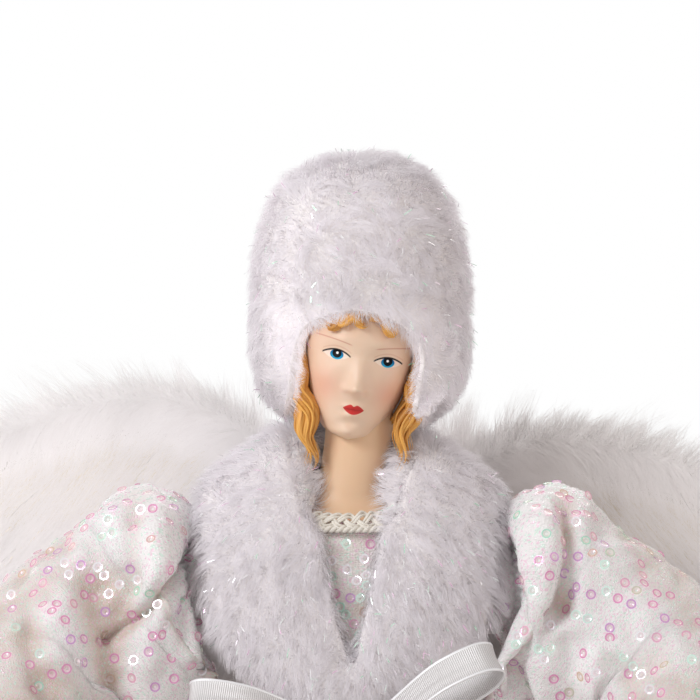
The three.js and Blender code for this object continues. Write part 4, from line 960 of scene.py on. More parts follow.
def stole_fuller(points, normals):
    """The padding swells to the neck, which leans off the middle, and the lapels swell to each other."""
    x, y, z = points.T
    to_neck = np.stack([neck_lean(z) - x, -y, 0 * x], 1)
    reach = np.linalg.norm(to_neck, axis=1)
    to_neck = unit(to_neck)
    faces_it = ease((normals * to_neck).sum(1) / 0.5) * ease((z - SHOULDER_Z - 10) / 10)
    swell = to_neck * (np.clip(reach - NECK_RADIUS - 2.2, 0, 6) * faces_it)[:, None]
    side = np.sign(x - 1)
    on_lapel = ease((-y - 12) / 6) * ease((SHOULDER_Z + 16 - z) / 8) * (np.abs(x) < 40)
    meet = np.minimum(3.5, 0.6 * np.abs(x - 1)) * ease(-side * normals[:, 0] / 0.5) * on_lapel
    swell[:, 0] -= side * meet
    return swell


def make_fur():
    hat = pile("hat", "fur_hat", 5.5, ["bust_head"], hat_comb)
    hat.visible_shadow = False  # its pile shades the head
    stole = pile("stole", "fur_stole", 5.8, ["bust_head", "bodice"], stole_comb, stole_fuller)


# Gown

GLINT = unit(np.array([-0.6, -1.6, 0.55]))  # cloth that faces this way throws the window light forward
GLINT_REACH = math.cos(math.radians(32))
# Rings of a sequin, a flat rim round a cup: radius, height, and how much of the edge's tint each shows
SEQUIN_RADII, SEQUIN_HEIGHTS = np.array([1.45, 1.04, 0.92, 0.4]), [0.0, 0.0, -0.04, -0.3]
SEQUIN_RIM = [0.9, 1.0, 0.06, 0.3]
SEQUIN_SIDES, SEQUIN_LIFT, LIT_SHARE, PEARL_SHARE = 14, 0.62, 0.55, 0.06
SKIRT_FOLDS, SKIRT_FOLD_DEPTH, SKIRT_SEAM = 14, 6.5, 0.0012


def spaced(place, spacing, count):
    """Picks places that keep their distance, in the order given."""
    taken, kept = {}, []
    near = [(x, y, z) for x in (-1, 0, 1) for y in (-1, 0, 1) for z in (-1, 0, 1)]
    for i, p in enumerate(place):
        cell = tuple(np.floor(p / spacing).astype(int))
        others = [taken.get((cell[0] + x, cell[1] + y, cell[2] + z)) for x, y, z in near]
        if all(q is None or np.linalg.norm(p - q) > spacing for q in others):
            taken[cell] = p
            kept.append(i)
        if len(kept) == count:
            break
    return kept


def sequins(node, points, quads, count, spacing, body="figure"):
    """Loose film sequins sewn over a cloth, closer together in some places than in others."""
    name = node + "_sequins"
    rng = rng_for(name)
    normals = point_normals(points, quads)
    place, out = scatter(points, quads[:, :3], normals, 4 * count, rng)
    dense = wavy(place, 22, 11.0) + rng.uniform(-0.6, 0.6, len(place)) > -0.3
    place, out = place[dense], out[dense]
    kept = spaced(place, spacing, count)
    place, out = place[kept], out[kept]
    n, sides = len(kept), SEQUIN_SIDES
    face = unit(out + 0.12 * rng.normal(size=(n, 3)))
    lit = (out @ GLINT > GLINT_REACH) & (rng.random(n) < LIT_SHARE)
    face = np.where(lit[:, None], unit(GLINT + 0.1 * rng.normal(size=(n, 3))), face)
    u = unit(np.cross(face, unit(rng.normal(size=(n, 3)))))
    v = np.cross(face, u)
    angle = all_round(sides)
    spoke = u[:, None] * np.cos(angle)[None, :, None] + v[:, None] * np.sin(angle)[None, :, None]
    middle = place[:, None] + (SEQUIN_LIFT + 0.2 * lit)[:, None, None] * out[:, None]
    rings = [middle + r * spoke + h * face[:, None] for r, h in zip(SEQUIN_RADII, SEQUIN_HEIGHTS)]
    each = len(rings) * sides
    disc = grid_quads(len(rings), sides, wrap=True)[None]
    all_quads = (disc + (np.arange(n) * each)[:, None, None]).reshape(-1, 4)
    corner, cells = map_cells(n)
    flat = np.stack([np.cos(angle), np.sin(angle)], 1)
    polar = np.stack([0.45 * r / SEQUIN_RADII[0] * flat for r in SEQUIN_RADII])[None] + 0.5
    uv = ((corner + polar) / cells).reshape(-1, 2)
    values = {
        "rim": np.tile(np.repeat(SEQUIN_RIM, sides), n),
        "tint": np.repeat(rng.random(n), each),
        # The pale coat is a painted glint on sequins that face the lamp, and a pearly finish on a few others
        "pearl_and_glint": np.repeat(lit | (rng.random(n) < PEARL_SHARE), each),
    }
    look = (sequin, body, "gown")
    made = piece(name, np.stack(rings, 1).reshape(-1, 3), all_quads, look, (), uv, "OFBake", **values)
    made.visible_shadow = False  # clear film hardly shades the cloth


def sheet(node, kind, grid, look, flat, held, rests_on, thick=0.5, area=None, **values):
    """A sheet of cloth with its thickness."""
    points, quads, uv = grid
    made = thicken(piece(f"{node}_{kind}", points, quads, look, [node], uv, **values), thick)


def make_bodice():
    """A close bodice with small creases, and holes for the arms."""
    rows, sides = 70, 150
    z = np.linspace(WAIST_Z, NECKLINE_Z, rows)[:, None]
    angle = all_round(sides)[None, :]
    points = body_point(z, angle, CLOTH_OUTER - 0.25).reshape(-1, 3)
    crease = 0.35 * wavy(points * [1, 1, 0.4], 6.0, 3.0) + 0.25 * wavy(points, 3.0, 4.0)
    quads = grid_quads(rows, sides, wrap=True)
    points = points + point_normals(points, quads) * crease[:, None]
    middle = points[quads].mean(1)
    hole = (np.hypot(middle[:, 1], middle[:, 2] - ARM_Z) < 6) & (np.abs(middle[:, 0]) > 18)
    quads = quads[~hole]
    uv = grid_map(angle * 22, z)
    # How deep the cloth lies in a crease, for the painted shade there
    deep = np.clip(0.45 - crease, 0, 1)
    grid, look = (points, quads, uv), (cloth, "figure", "gown")
    sheet("bodice", "cloth", grid, look, (0.15, 0.095), "stretched", ["torso_form"], deep=deep)
    sequins("bodice", points, quads, 640, 2.6)


def twisted_ring(ring, pitch, ply, thickness):
    """Cords of two plies wound round each other along a closed line."""
    steps = len(ring)
    length = np.linalg.norm(np.roll(ring, -1, 0) - ring, axis=1).sum()
    turns = round(length / pitch)
    across, up = frames_along(ring, (0, 0, 1.0), closed=True)
    angle = TAU * turns * np.arange(steps) / steps
    parts = []
    for start in (0, math.pi):
        a = (angle + start)[:, None]
        line = ring + ply * (across * np.cos(a) + up * np.sin(a))
        parts.append(pipe(line, thickness, 6, closed=True))
    return parts


def make_braid():
    """A twisted cord, and above it three pairs of cords that pass over and under each other."""
    angle, waves = all_round(900), 15
    parts = twisted_ring(body_point(NECKLINE_Z - 2.0, angle, CLOTH_OUTER + 2.1), 3.0, 0.5, 0.62)
    for k in range(3):
        phase = waves * angle + TAU * k / 3 + 0.35 * np.sin(3 * angle + k)
        rise = 0.2 + (1.75 + 0.3 * np.sin(5 * angle + k)) * np.sin(phase)
        grow = CLOTH_OUTER + 2.3 + 0.6 * np.sin(2 * phase)
        for aside in (-0.42, 0.42):
            line = body_point(NECKLINE_Z + rise + aside, angle, grow)
            parts.append(pipe(line, 0.43, 7, closed=True))
    finish = {"bump": (0.4, 0.15), "Roughness": 0.7, "Sheen_Weight": 0.2}
    cord = two_tone("braid_cord", (224, 216, 203), (247, 243, 235), 2600.0, 3.0, **finish)
    piece("neckline_cord", *join_grids(parts), (cord, "figure", "braid_cord"), ["neckline_braid"])


def skirt_point(angle, drop):
    """Points of the skirt at angles and at shares of the way down from the waist."""
    tucked = 5.0 / (WAIST_Z - GAP - HEM_LIFT)
    free = np.maximum(0, (drop - tucked) / (1 - tucked))
    crest = HEM_RADIUS - SKIRT_FOLD_DEPTH
    swell = 5 * np.sin(math.pi * free)
    fold = SKIRT_FOLD_DEPTH * free * np.cos(SKIRT_FOLDS * angle)
    fold = fold + 1.1 * free * np.cos(2 * SKIRT_FOLDS * angle + 1.0)
    gather = 0.5 * np.clip(1 - 3 * free, 0, 1) * np.cos(6 * SKIRT_FOLDS * angle)
    depth = np.where(np.sin(angle) < 0, WAIST[1], WAIST[2])
    reach = [lerp(half + CLOTH_OUTER, crest, free) + swell + fold + gather for half in (WAIST[0], depth)]
    z = lerp(WAIST_Z - GAP, HEM_LIFT, drop)
    return np.stack([reach[0] * np.cos(angle), reach[1] * np.sin(angle), z], -1)


def make_skirt():
    """Two panels that meet at the sides, with folds that sway and small creases."""
    rows, columns = 120, 300
    for node, start in (("skirt_back", 0.0), ("skirt_front", math.pi)):
        half_turn = start + np.linspace(SKIRT_SEAM, math.pi - SKIRT_SEAM, columns)
        drop, angle = np.meshgrid(np.linspace(0, 1, rows), half_turn, indexing="ij")
        coarse = np.stack([np.cos(angle) * 2, np.sin(angle) * 2, drop * 1.2], -1).reshape(-1, 3)
        sway = wavy(coarse, 0.5, rng_for(node).uniform(0, 50)).reshape(rows, columns) * np.sin(angle - start)
        points = skirt_point(angle + 0.06 * drop * sway, drop).reshape(-1, 3)
        quads = grid_quads(rows, columns)
        crease = 0.8 * wavy(points * [1, 1, 0.35], 9.0, 7.0) + 0.3 * wavy(points, 4.0, 2.0)
        crease = crease * drop.ravel() ** 0.5
        points = points + point_normals(points, quads) * crease[:, None]
        uv = grid_map(angle * 70, drop * 230)
        # How deep the cloth lies in a fold, more so lower down, for the painted shade there
        deep = np.clip(0.35 - 0.65 * np.cos(SKIRT_FOLDS * angle.ravel()), 0, 1) * drop.ravel() ** 0.7
        grid, look, rests_on = (points, quads, uv), (cloth, "figure", "gown"), ["petticoat", "waistband"]
        sheet(node, "cloth", grid, look, (0.33, 0.235), "gathered", rests_on, area=0.047, deep=deep)
        middle = len(points) // 2
        faces_in = point_normals(points, quads)[middle] @ points[middle] < 0
        sequins(node, points, quads[:, ::-1] if faces_in else quads, 1400, 2.9)


def make_petticoat():
    rows, columns = 40, 240
    drop, angle = np.meshgrid(np.linspace(0, 1, rows), all_round(columns), indexing="ij")
    top, bottom = CONE_HEIGHT - 14, 7
    top_radius = lerp(CONE_BASE_RADIUS, CONE_TOP_RADIUS, top / CONE_HEIGHT) + GAP + 0.5
    radius = lerp(top_radius, 74.5, drop) + drop * np.cos(30 * angle)
    points = np.stack([radius * np.cos(angle), radius * np.sin(angle), lerp(top, bottom, drop)], -1)
    grid = (points.reshape(-1, 3), grid_quads(rows, columns, wrap=True), grid_map(angle * 50, drop * 190))
    look = (net_material(), "figure", "tulle")
    sheet("petticoat", "net", grid, look, (0.3, 0.195), "gathered", ["support_cone"])


# Ribbon

RIBBON_WIDTH = 0.010  # metres
BOW_TILT, BOW_SPREAD = 60.0, 13.0
BOW_RISE = {"left": 33.0, "right": 16.0}
# A loop's outline between its two roots, as shares of its length and of half its height
LOOP_OUTLINE = [[0.28, 0.62], [0.66, 1], [0.95, 0.5], [1, -0.1], [0.9, -0.72], [0.6, -0.86], [0.25, -0.5]]


def ribbon_sheet(node, points, length, held, rests_on, wrap=False, body="figure", area=None):
    """A ribbon from a grid of points, rows along it and columns across it. Its length, in metres, is not
    used.
    """
    rows, columns = points.shape[:2]
    steps = np.linalg.norm(np.diff(points[:, columns // 2], axis=0), axis=1)
    along = np.concatenate([[0], np.cumsum(steps)])
    across = np.linspace(-1, 1, columns)
    uv = grid_map(across[None] * 5, along[:, None])
    edge = np.broadcast_to(np.abs(across)[None], (rows, columns)).ravel()
    grid = (points.reshape(-1, 3), grid_quads(rows, columns, wrap_rows=wrap), uv)
    look, flat = (ribbon, body, "silver_ribbon"), (RIBBON_WIDTH, length)
    sheet(node, "ribbon", grid, look, flat, held, rests_on, 0.45, area, edge=edge)


def ribbon_points(line, wide, half, across, out, lift):
    """A ribbon's grid of points, from the line along its middle and how far it bulges out."""
    points = line[:, None] + wide[:, None] * (half[:, None] * across[None])[..., None]
    return points + out[:, None] * lift[..., None]


def make_bow_loops(t, across):
    """Two loops that rise from the knot, gathered in pleats at their roots."""
    length, half, root = 41.0, 7.5, 1.3
    outline = [[0, root], *([u * length, v * half] for u, v in LOOP_OUTLINE), [0, -root]]
    corners = np.array([[0, y, z] for y in (-2.75, 2.75) for z in (-1.65, 1.65)])
    full = np.sin(math.pi * t)
    for side, word in SIDES:
        line = catmull([[side * x, 0, z] for x, z in outline], t)
        along = unit(np.gradient(line, axis=0))
        out = np.stack([along[:, 2], 0 * t, -along[:, 0]], 1)
        wide = np.broadcast_to([0, 1, 0], line.shape)
        half_width = lerp(5.5, 10.0, full**0.5) / 2
        crown = 0.5 * full[:, None] * (1 - across[None] ** 2)
        pleat = 0.5 * ((1 - full**0.4)[:, None]) * np.cos(3 * math.pi * across)[None]
        points = ribbon_points(line, wide, half_width, across, out, side * (crown + pleat))
        turn = rotation("z", -side * BOW_SPREAD) @ rotation("y", -side * BOW_RISE[word])
        turn = turn @ rotation("x", BOW_TILT)
        root_x = 4.5 + GAP + 0.35 + (-side * (corners @ turn.T)[:, 0]).max()
        points = points @ turn.T + KNOT + [side * root_x, 0, 0]
        ribbon_sheet("bow_loop_" + word, points, 0.105, "folded", ["bow_knot"])


def make_bow_tails(t, across):
    """Tails that hang clear of the skirt's front and end in a notch."""
    stops = t[::26]
    drop = 4.8 + stops * 76
    share = (WAIST_Z - GAP - KNOT[2] + drop) / (WAIST_Z - GAP)
    skirt_forward = -skirt_point(np.full(len(drop), -math.pi / 2), share)[:, 1]
    forward = np.maximum(0, skirt_forward + 6 + KNOT[1])
    ripple = 1.5 * np.sin(1.5 * math.pi * stops)
    half = 5 * lerp(0.42, 1, ease(3 * t))
    wave = 0.5 * ease(3 * t)[:, None] * np.cos(2.2 * across[None] + 7 * t[:, None])
    notch = 5.0 * (1 - np.abs(across))[None] * (t[:, None] > 0.9) * (t[:, None] - 0.9) / 0.1
    for side, word in SIDES:
        stations = np.stack([side * lerp(2.2, 17, ease(stops)), -forward - 0.6 * ripple, -drop], 1)
        line = catmull(stations, t)
        turn = side * lerp(0.5, -0.25, t)
        wide = np.stack([np.cos(turn), np.sin(turn), 0 * t], 1)
        out = np.stack([-np.sin(turn), np.cos(turn), 0 * t], 1)
        points = ribbon_points(line, wide, half, across, out, wave)
        points[..., 2] += notch
        ribbon_sheet("bow_tail_" + word, points + KNOT, 0.079, "hung", ["bow_knot"])


def make_bow():
    t, across = np.linspace(0, 1, 130), np.linspace(-1, 1, 25)
    make_bow_loops(t, across)
    make_bow_tails(t, across)
    # Knot: a short length of ribbon wrapped round the gathered roots
    turn = all_round(90)
    share = np.linspace(-0.5, 0.5, 33)
    pinch = (1 - 1.1 * share**2)[None] + 0.03 * np.cos(18 * share)[None] * np.cos(turn * 2 + 1)[:, None]
    forward, up = (np.sign(v) * np.abs(v) ** 0.75 for v in (np.cos(turn)[:, None], np.sin(turn)[:, None]))
    aside = np.broadcast_to(share[None] * 9, pinch.shape)
    knot = np.stack([aside, 3.5 * pinch * forward, 4.5 * pinch * up], -1)
    ribbon_sheet("bow_knot", knot + KNOT, 0.027, "folded", ["fur_stole"], wrap=True)


def make_waistband():
    turn = all_round(200)[:, None]
    z = np.linspace(-5, 5, 21)[None]
    points = body_point(np.maximum(WAIST_Z + z, WAIST_Z), turn, CLOTH_OUTER + GAP + 0.55)
    points[..., 2] = WAIST_Z + z
    crease = 0.2 * np.sin(z * 1.1 + 3 * np.sin(2 * turn))
    points[..., :2] *= (1 + crease / 22)[..., None]
    ribbon_sheet("waistband", points, 0.125, "stretched", ["bodice"], wrap=True)


# Arms

sleeve_stations = [[SHOULDER[0] + GAP + SLEEVE_NECK_LENGTH, 0, 0]]
sleeve_stations += [[o, -f, -b] for o, f, b, _ in SLEEVE_LINE] + [[WRIST[0], -WRIST[1], -WRIST[2]]]
sleeve_radii = [SLEEVE_NECK_RADIUS, *[s[3] for s in SLEEVE_LINE], WRIST_SLEEVE_RADIUS]
sleeve_radius_at = through([[i / (len(sleeve_radii) - 1), r] for i, r in enumerate(sleeve_radii)])
SLEEVE_GATHER, SLEEVE_MIDDLE = np.array([50.0, -2, 31]), np.array([76.0, -12, -16])
FAN_FOLDS, FAN_FOLD_DEPTH = 7, 5.0
NECK_RINGS, DRAWN_RINGS = 10, 5
CUFF_SHARE = 5 / 139.0  # of the sleeve's length
# Folds on the front of each sleeve: how far out, half the width, and the line, across and up
SLEEVE_FOLDS = {
    "right": [
        (-6.5, 6.0, [[70, 7], [67, -6], [65, -18], [65, -34]]),
        (-4.0, 2.2, [[44, 13], [53, 5], [59, -2], [66, -6]]),
        (-4.0, 3.2, [[43, -5], [46, -17], [45, -30]]),
        (-2.8, 4.0, [[59, 27], [60, 13], [63, 0]]),
        (-2.5, 3.5, [[88, -3], [85, -14], [77, -29]]),
        (2.5, 6.0, [[72, 20], [77, 8], [81, -6]]),
        (2.2, 3.5, [[52, 26], [53, 11]]),
        (3.0, 5.0, [[56, -7], [57, -32]]),
    ],
    "left": [
        (2.5, 3.2, [[44, 9], [43.5, -14], [42, -32]]),
        (-5.0, 2.6, [[48, 9], [49, -3], [50, -17], [53, -29]]),
        (3.0, 4.0, [[52, 27], [55, 20], [54.5, 9], [52, 0]]),
        (-5.0, 2.8, [[59, 27], [60, 14], [59, 3], [55, -2]]),
        (2.5, 7.0, [[67, 14], [81, 3], [89, -9]]),
        (3.0, 2.6, [[52, -3], [50.5, -10], [53, -17], [59, -32]]),
        (-2.4, 4.0, [[60, -9], [62, -20], [67, -32]]),
        (2.2, 2.6, [[69, -11], [68.5, -23], [68, -32]]),
        (-2.4, 4.0, [[75, -14], [81, -29]]),
    ],
}


def sleeve_rings(t, angle, grow=0.0):
    """Points of the left sleeve at places t along it and angles round it, as a grid."""
    line = catmull(sleeve_stations, t)
    ahead = catmull(sleeve_stations, np.minimum(t + 0.004, 1))
    behind = catmull(sleeve_stations, np.maximum(t - 0.004, 0))
    along = unit(ahead - behind)
    across = unit(np.cross(along, np.array([0, 0, 1.0])))
    up = np.cross(across, along)
    loose = np.sin(math.pi * np.clip(t, 0, 1)) ** 0.8
    sag = 0.1 * loose[:, None] * np.maximum(0, -np.sin(angle))[None]
    reach = sleeve_radius_at(t) * (1 + sag) + grow
    flat = lerp(1, 0.86, loose)[:, None]
    side = (reach * flat * np.cos(angle)[None])[..., None] * across[:, None]
    return line[:, None] + side + (reach * np.sin(angle)[None])[..., None] * up[:, None]


def settled(points, quads, held):
    """Lets cloth that is cut too full buckle between its held edges, in a solver at 20 times the size."""
    blown_up, frames, most = 20 * MM, 18, 5.0
    scene = bpy.context.scene
    mesh = bpy.data.meshes.new("settling")
    mesh.from_pydata((points * blown_up).tolist(), [], quads.tolist())
    probe = bpy.data.objects.new("settling", mesh)
    scene.collection.objects.link(probe)
    probe.vertex_groups.new(name="held").add(np.flatnonzero(held).tolist(), 1.0, "REPLACE")
    solver = probe.modifiers.new("cloth", "CLOTH")
    solver.point_cache.frame_start, solver.point_cache.frame_end = 1, frames
    solver.collision_settings.use_collision = False
    fabric = solver.settings
    fabric.quality, fabric.mass, fabric.air_damping = 5, 0.25, 2.0
    fabric.tension_stiffness = fabric.compression_stiffness = 15.0
    fabric.shear_stiffness, fabric.bending_stiffness = 5.0, 3.0
    fabric.vertex_group_mass = "held"
    fabric.shrink_min = -0.015
    fabric.use_pressure, fabric.uniform_pressure_force = True, 0.3
    fabric.effector_weights.gravity = 0.2
    for number in range(1, frames + 1):
        scene.frame_set(number)
    evaluated = probe.evaluated_get(bpy.context.evaluated_depsgraph_get())
    moved = np.zeros(points.size, np.float32)
    evaluated.data.vertices.foreach_get("co", moved)
    scene.frame_set(1)
    bpy.data.objects.remove(probe)
    shift = moved.reshape(-1, 3) / blown_up - points
    size = np.linalg.norm(shift, axis=1, keepdims=True)
    return points + shift * np.minimum(1, most / np.maximum(size, 1e-6))


def folded(word, smooth, normals, along, angle):
    """The grid of a smooth sleeve with its folds, gathers and puff."""
    grid, flat = smooth.shape[:2], smooth.reshape(-1, 3)
    x, z = smooth[..., 0], smooth[..., 2]
    seed = rng_for("sleeve_" + word).uniform(0, 60)

    def rough(scale, more):
        return wavy(flat, scale, seed + more).reshape(grid)

    # Behind, the folds fan out from the gathers on top of the shoulder
    ray = smooth - SLEEVE_GATHER
    axis = unit(SLEEVE_MIDDLE - SLEEVE_GATHER)
    ahead = unit(np.cross(axis, np.array([0, -1.0, 0])))
    fan_angle = np.arctan2(ray @ np.cross(axis, ahead), ray @ ahead)
    away = np.linalg.norm(ray - (ray @ axis)[..., None] * axis, axis=-1)
    wander = rough(24, 0)
    turn = FAN_FOLDS * fan_angle / TAU + 0.35 * wander
    fan_fold = FAN_FOLD_DEPTH * (0.85 + 0.4 * rough(30, 9)) * (np.abs(np.sin(math.pi * turn)) - 0.6)
    # In front, each fold has its own line
    front_fold = np.zeros(grid)
    for height, wide, line in SLEEVE_FOLDS[word]:
        line = catmull(line, np.linspace(0, 1, 30))
        from_line = np.linalg.norm(smooth[..., None, [0, 2]] - line, axis=-1).min(-1)
        front_fold += height * bell(from_line / wide)
    fold = lerp(fan_fold, front_fold, ease((0.25 - normals[..., 1]) / 0.5))
    loose = ease(away / 16) * ease(along / 0.1) * ease((1 - along) / 0.3)
    fold = (fold + (1.5 * rough(9, 3) + 0.7 * rough(4.5, 5))) * loose
    near = bell(along / 0.14) + 0.7 * bell((along - 1) / 0.12)
    gather = 0.6 * near * np.clip(along / 0.02, 0, 1) * np.cos(30 * angle[None] + 3 * wander)
    puff = 3.5 * bell((x - 57) / 12) * ease(normals[..., 2] / 0.8) * ease(along / 0.06)
    inside = 4.5 * ease((58 - x) / 10) * ease((-2 - z) / 14)
    return smooth + normals * (fold + gather + puff)[..., None] - inside[..., None] * np.array([1.0, 0, 0])


def on_arm(points, side):
    """From the frame of the left arm to the part's, on either side."""
    return points * [side, 1, 1] + [0, 0, ARM_Z]


def make_sleeve(side, word):
    """A puff sleeve with its sequins, and the ribbon round its cuff."""
    sides, rows, neck_share = 160, 110, 0.09
    angle = all_round(sides) + 1.3 * math.pi  # the seam lies low at the back
    neck_x = np.linspace(SHOULDER[0] + GAP, sleeve_stations[0][0], NECK_RINGS + 1)[:-1, None]
    ring = SLEEVE_NECK_RADIUS * np.stack([-np.cos(angle), np.sin(angle)])
    neck = np.stack(np.broadcast_arrays(neck_x, ring[0], ring[1]), -1)
    t = np.linspace(0, 1, rows)
    smooth = np.vstack([neck, sleeve_rings(t, angle)])
    place = np.concatenate([np.linspace(-neck_share, 0, NECK_RINGS + 1)[:-1], t])
    flat = smooth.reshape(-1, 3)
    quads = outward(flat, grid_quads(*smooth.shape[:2], wrap=True))
    normals = point_normals(flat, quads)
    points = folded(word, smooth, normals.reshape(smooth.shape), place[:, None], angle).reshape(-1, 3)
    at = np.repeat(place, sides)
    points = settled(points, quads, (at < 0.015) | (at > 0.965))
    rise = ((points - flat) * normals).sum(1)
    # How far the cloth sank into a fold, for the painted shade there
    deep = np.clip((-0.9 - rise) / 4, 0, 1) * (at > 0.02)
    points = on_arm(points, side)
    uv = grid_map(angle[None] * 26, place[:, None] * 150)
    body, node = word + "_arm", word + "_sleeve"
    sequins(node, points, outward(points, quads), 600, 2.7, body)
    # The end at the shoulder is drawn in round the arm
    rim, drawn = points[:sides], np.linspace(0.36, 1, DRAWN_RINGS + 1)[:-1, None, None]
    axle = rim * [1.0, 0, 0] + [0, 0, ARM_Z]
    points = np.vstack([(axle + drawn * (rim - axle)).reshape(-1, 3), points])
    quads = outward(points, grid_quads(len(points) // sides, sides, wrap=True))
    back = np.arange(DRAWN_RINGS, 0, -1)[:, None, None] * [0, 1.6]
    uv = np.vstack([(uv[:sides] - back).reshape(-1, 2), uv])
    # The drawn-in end at the shoulder gets a little painted shade
    deep = np.concatenate([np.full(DRAWN_RINGS * sides, 0.2), deep])
    grid, look, rests_on = (points, quads, uv), (cloth, body, "gown"), [word + "_arm_core", word + "_cuff"]
    sheet(node, "cloth", grid, look, (0.2, 0.17), "gathered", rests_on, area=0.027, deep=deep)
    cuff = sleeve_rings(np.linspace(1 - CUFF_SHARE, 1, 15), all_round(80), GAP + 0.6)
    cuff = on_arm(np.swapaxes(cuff, 0, 1), side)
    ribbon_sheet(word + "_cuff", cuff, 0.042, "folded", [node + "_cloth"], True, body, 0.0002)


# Wings

FEATHER_OUTLINE = through([[0, 0.35], [0.3, 0.74], [0.6, 1], [0.8, 0.94], [0.93, 0.62], [1, 0.14]])
ROLL_BARBS, COVER_BARBS, WISPS, TUFT_BARBS = 20000, 9000, 1500, 1100
SHAFT_FINISH = {"Roughness": 0.4, "Specular_IOR_Level": 0.5}
shaft = two_tone("feather_shaft", (222, 206, 178), (242, 232, 212), 1200.0, 2.0, **SHAFT_FINISH)


def in_wing(points, side):
    """From a wing's own frame on its pin to the part's."""
    word = "left" if side > 0 else "right"
    mirror = np.array([side, 1, 1])
    lifted = points @ rotation("y", -WING_LIFT[word]).T + [0, 0, WING_RISE[word]]
    return lifted * mirror @ rotation("z", side * WING_SWEEP).T + PIN * mirror


def feather(base, angle, length, width, y, facing, rng):
    """A vane, its map and its shaft, in the wing's frame."""
    rows, columns = 34, 13
    s = np.linspace(0, 1, rows)
    v = np.linspace(-1, 1, columns)
    half = FEATHER_OUTLINE(s)[:, 0] * width / 2
    ragged = 1 + 0.07 * np.array([noise.noise(Vector((9 * k, rng.uniform(0, 3), 0))) for k in s])
    split = 1 - 0.22 * bell((s - rng.uniform(0.45, 0.85)) / 0.02)
    across = half[:, None] * np.stack([ragged, ragged * split], 1)[:, (v > 0).astype(int)] * v[None]
    along = (s * length)[:, None]
    camber = facing * (1.3 * (1 - v[None] ** 2) * np.sin(math.pi * s)[:, None] - 2.0 * s[:, None] ** 2)
    c, n = math.cos(angle), math.sin(angle)
    points = np.stack([base[0] + c * along - n * across, y + camber, base[1] + n * along + c * across], -1)
    rod = pipe(points[:, columns // 2] + [0, facing * 0.25, 0], lerp(0.75, 0.16, s), 5, upright=(0, 1, 0))
    return (points.reshape(-1, 3), grid_quads(rows, columns)), grid_map(across, along), rod


def fan(node, side, word, count, roots, angles, length_at, width, y, facing):
    """A row of feathers that overlap, from the first root to the last."""
    name, body = node + "_vanes", word + "_wing"
    rng = rng_for(name)
    feathers = []
    for i in range(count):
        t = i / (count - 1)
        base = lerp(*np.array(roots, float), t)
        lift = 0.55 * (i % 2) * facing
        angle = math.radians(lerp(*angles, t))
        feathers.append(feather(base, angle, length_at(t), width, y + lift, facing, rng))
    vanes, maps, rods = zip(*feathers)
    points, quads = join_grids(vanes)
    look = (vane, body, "feather_vane")
    thicken(piece(name, in_wing(points, side), quads, look, [node], np.vstack(maps)), 0.35)
    points, quads = join_grids(rods)
    piece(name + "_shafts", in_wing(points, side), quads, (shaft, body, "feather_vane"))


def primary_length(t):
    return 74 * (0.7 + 0.3 * math.sin(math.pi * (0.15 + 0.75 * t)))


def covert_length(t):
    return 50 * (0.74 + 0.26 * math.sin(math.pi * t))


def make_feathers(side, word):
    """Long primaries behind and shorter coverts in front."""
    primaries, coverts = ([24, 2], [92, 6]), ([22, 26], [92, 23])
    fan(word + "_primaries", side, word, 9, primaries, (-97, -20), primary_length, 21.0, 1.6, 1)
    fan(word + "_coverts", side, word, 8, coverts, (-94, -36), covert_length, 24.0, -1.8, -1)


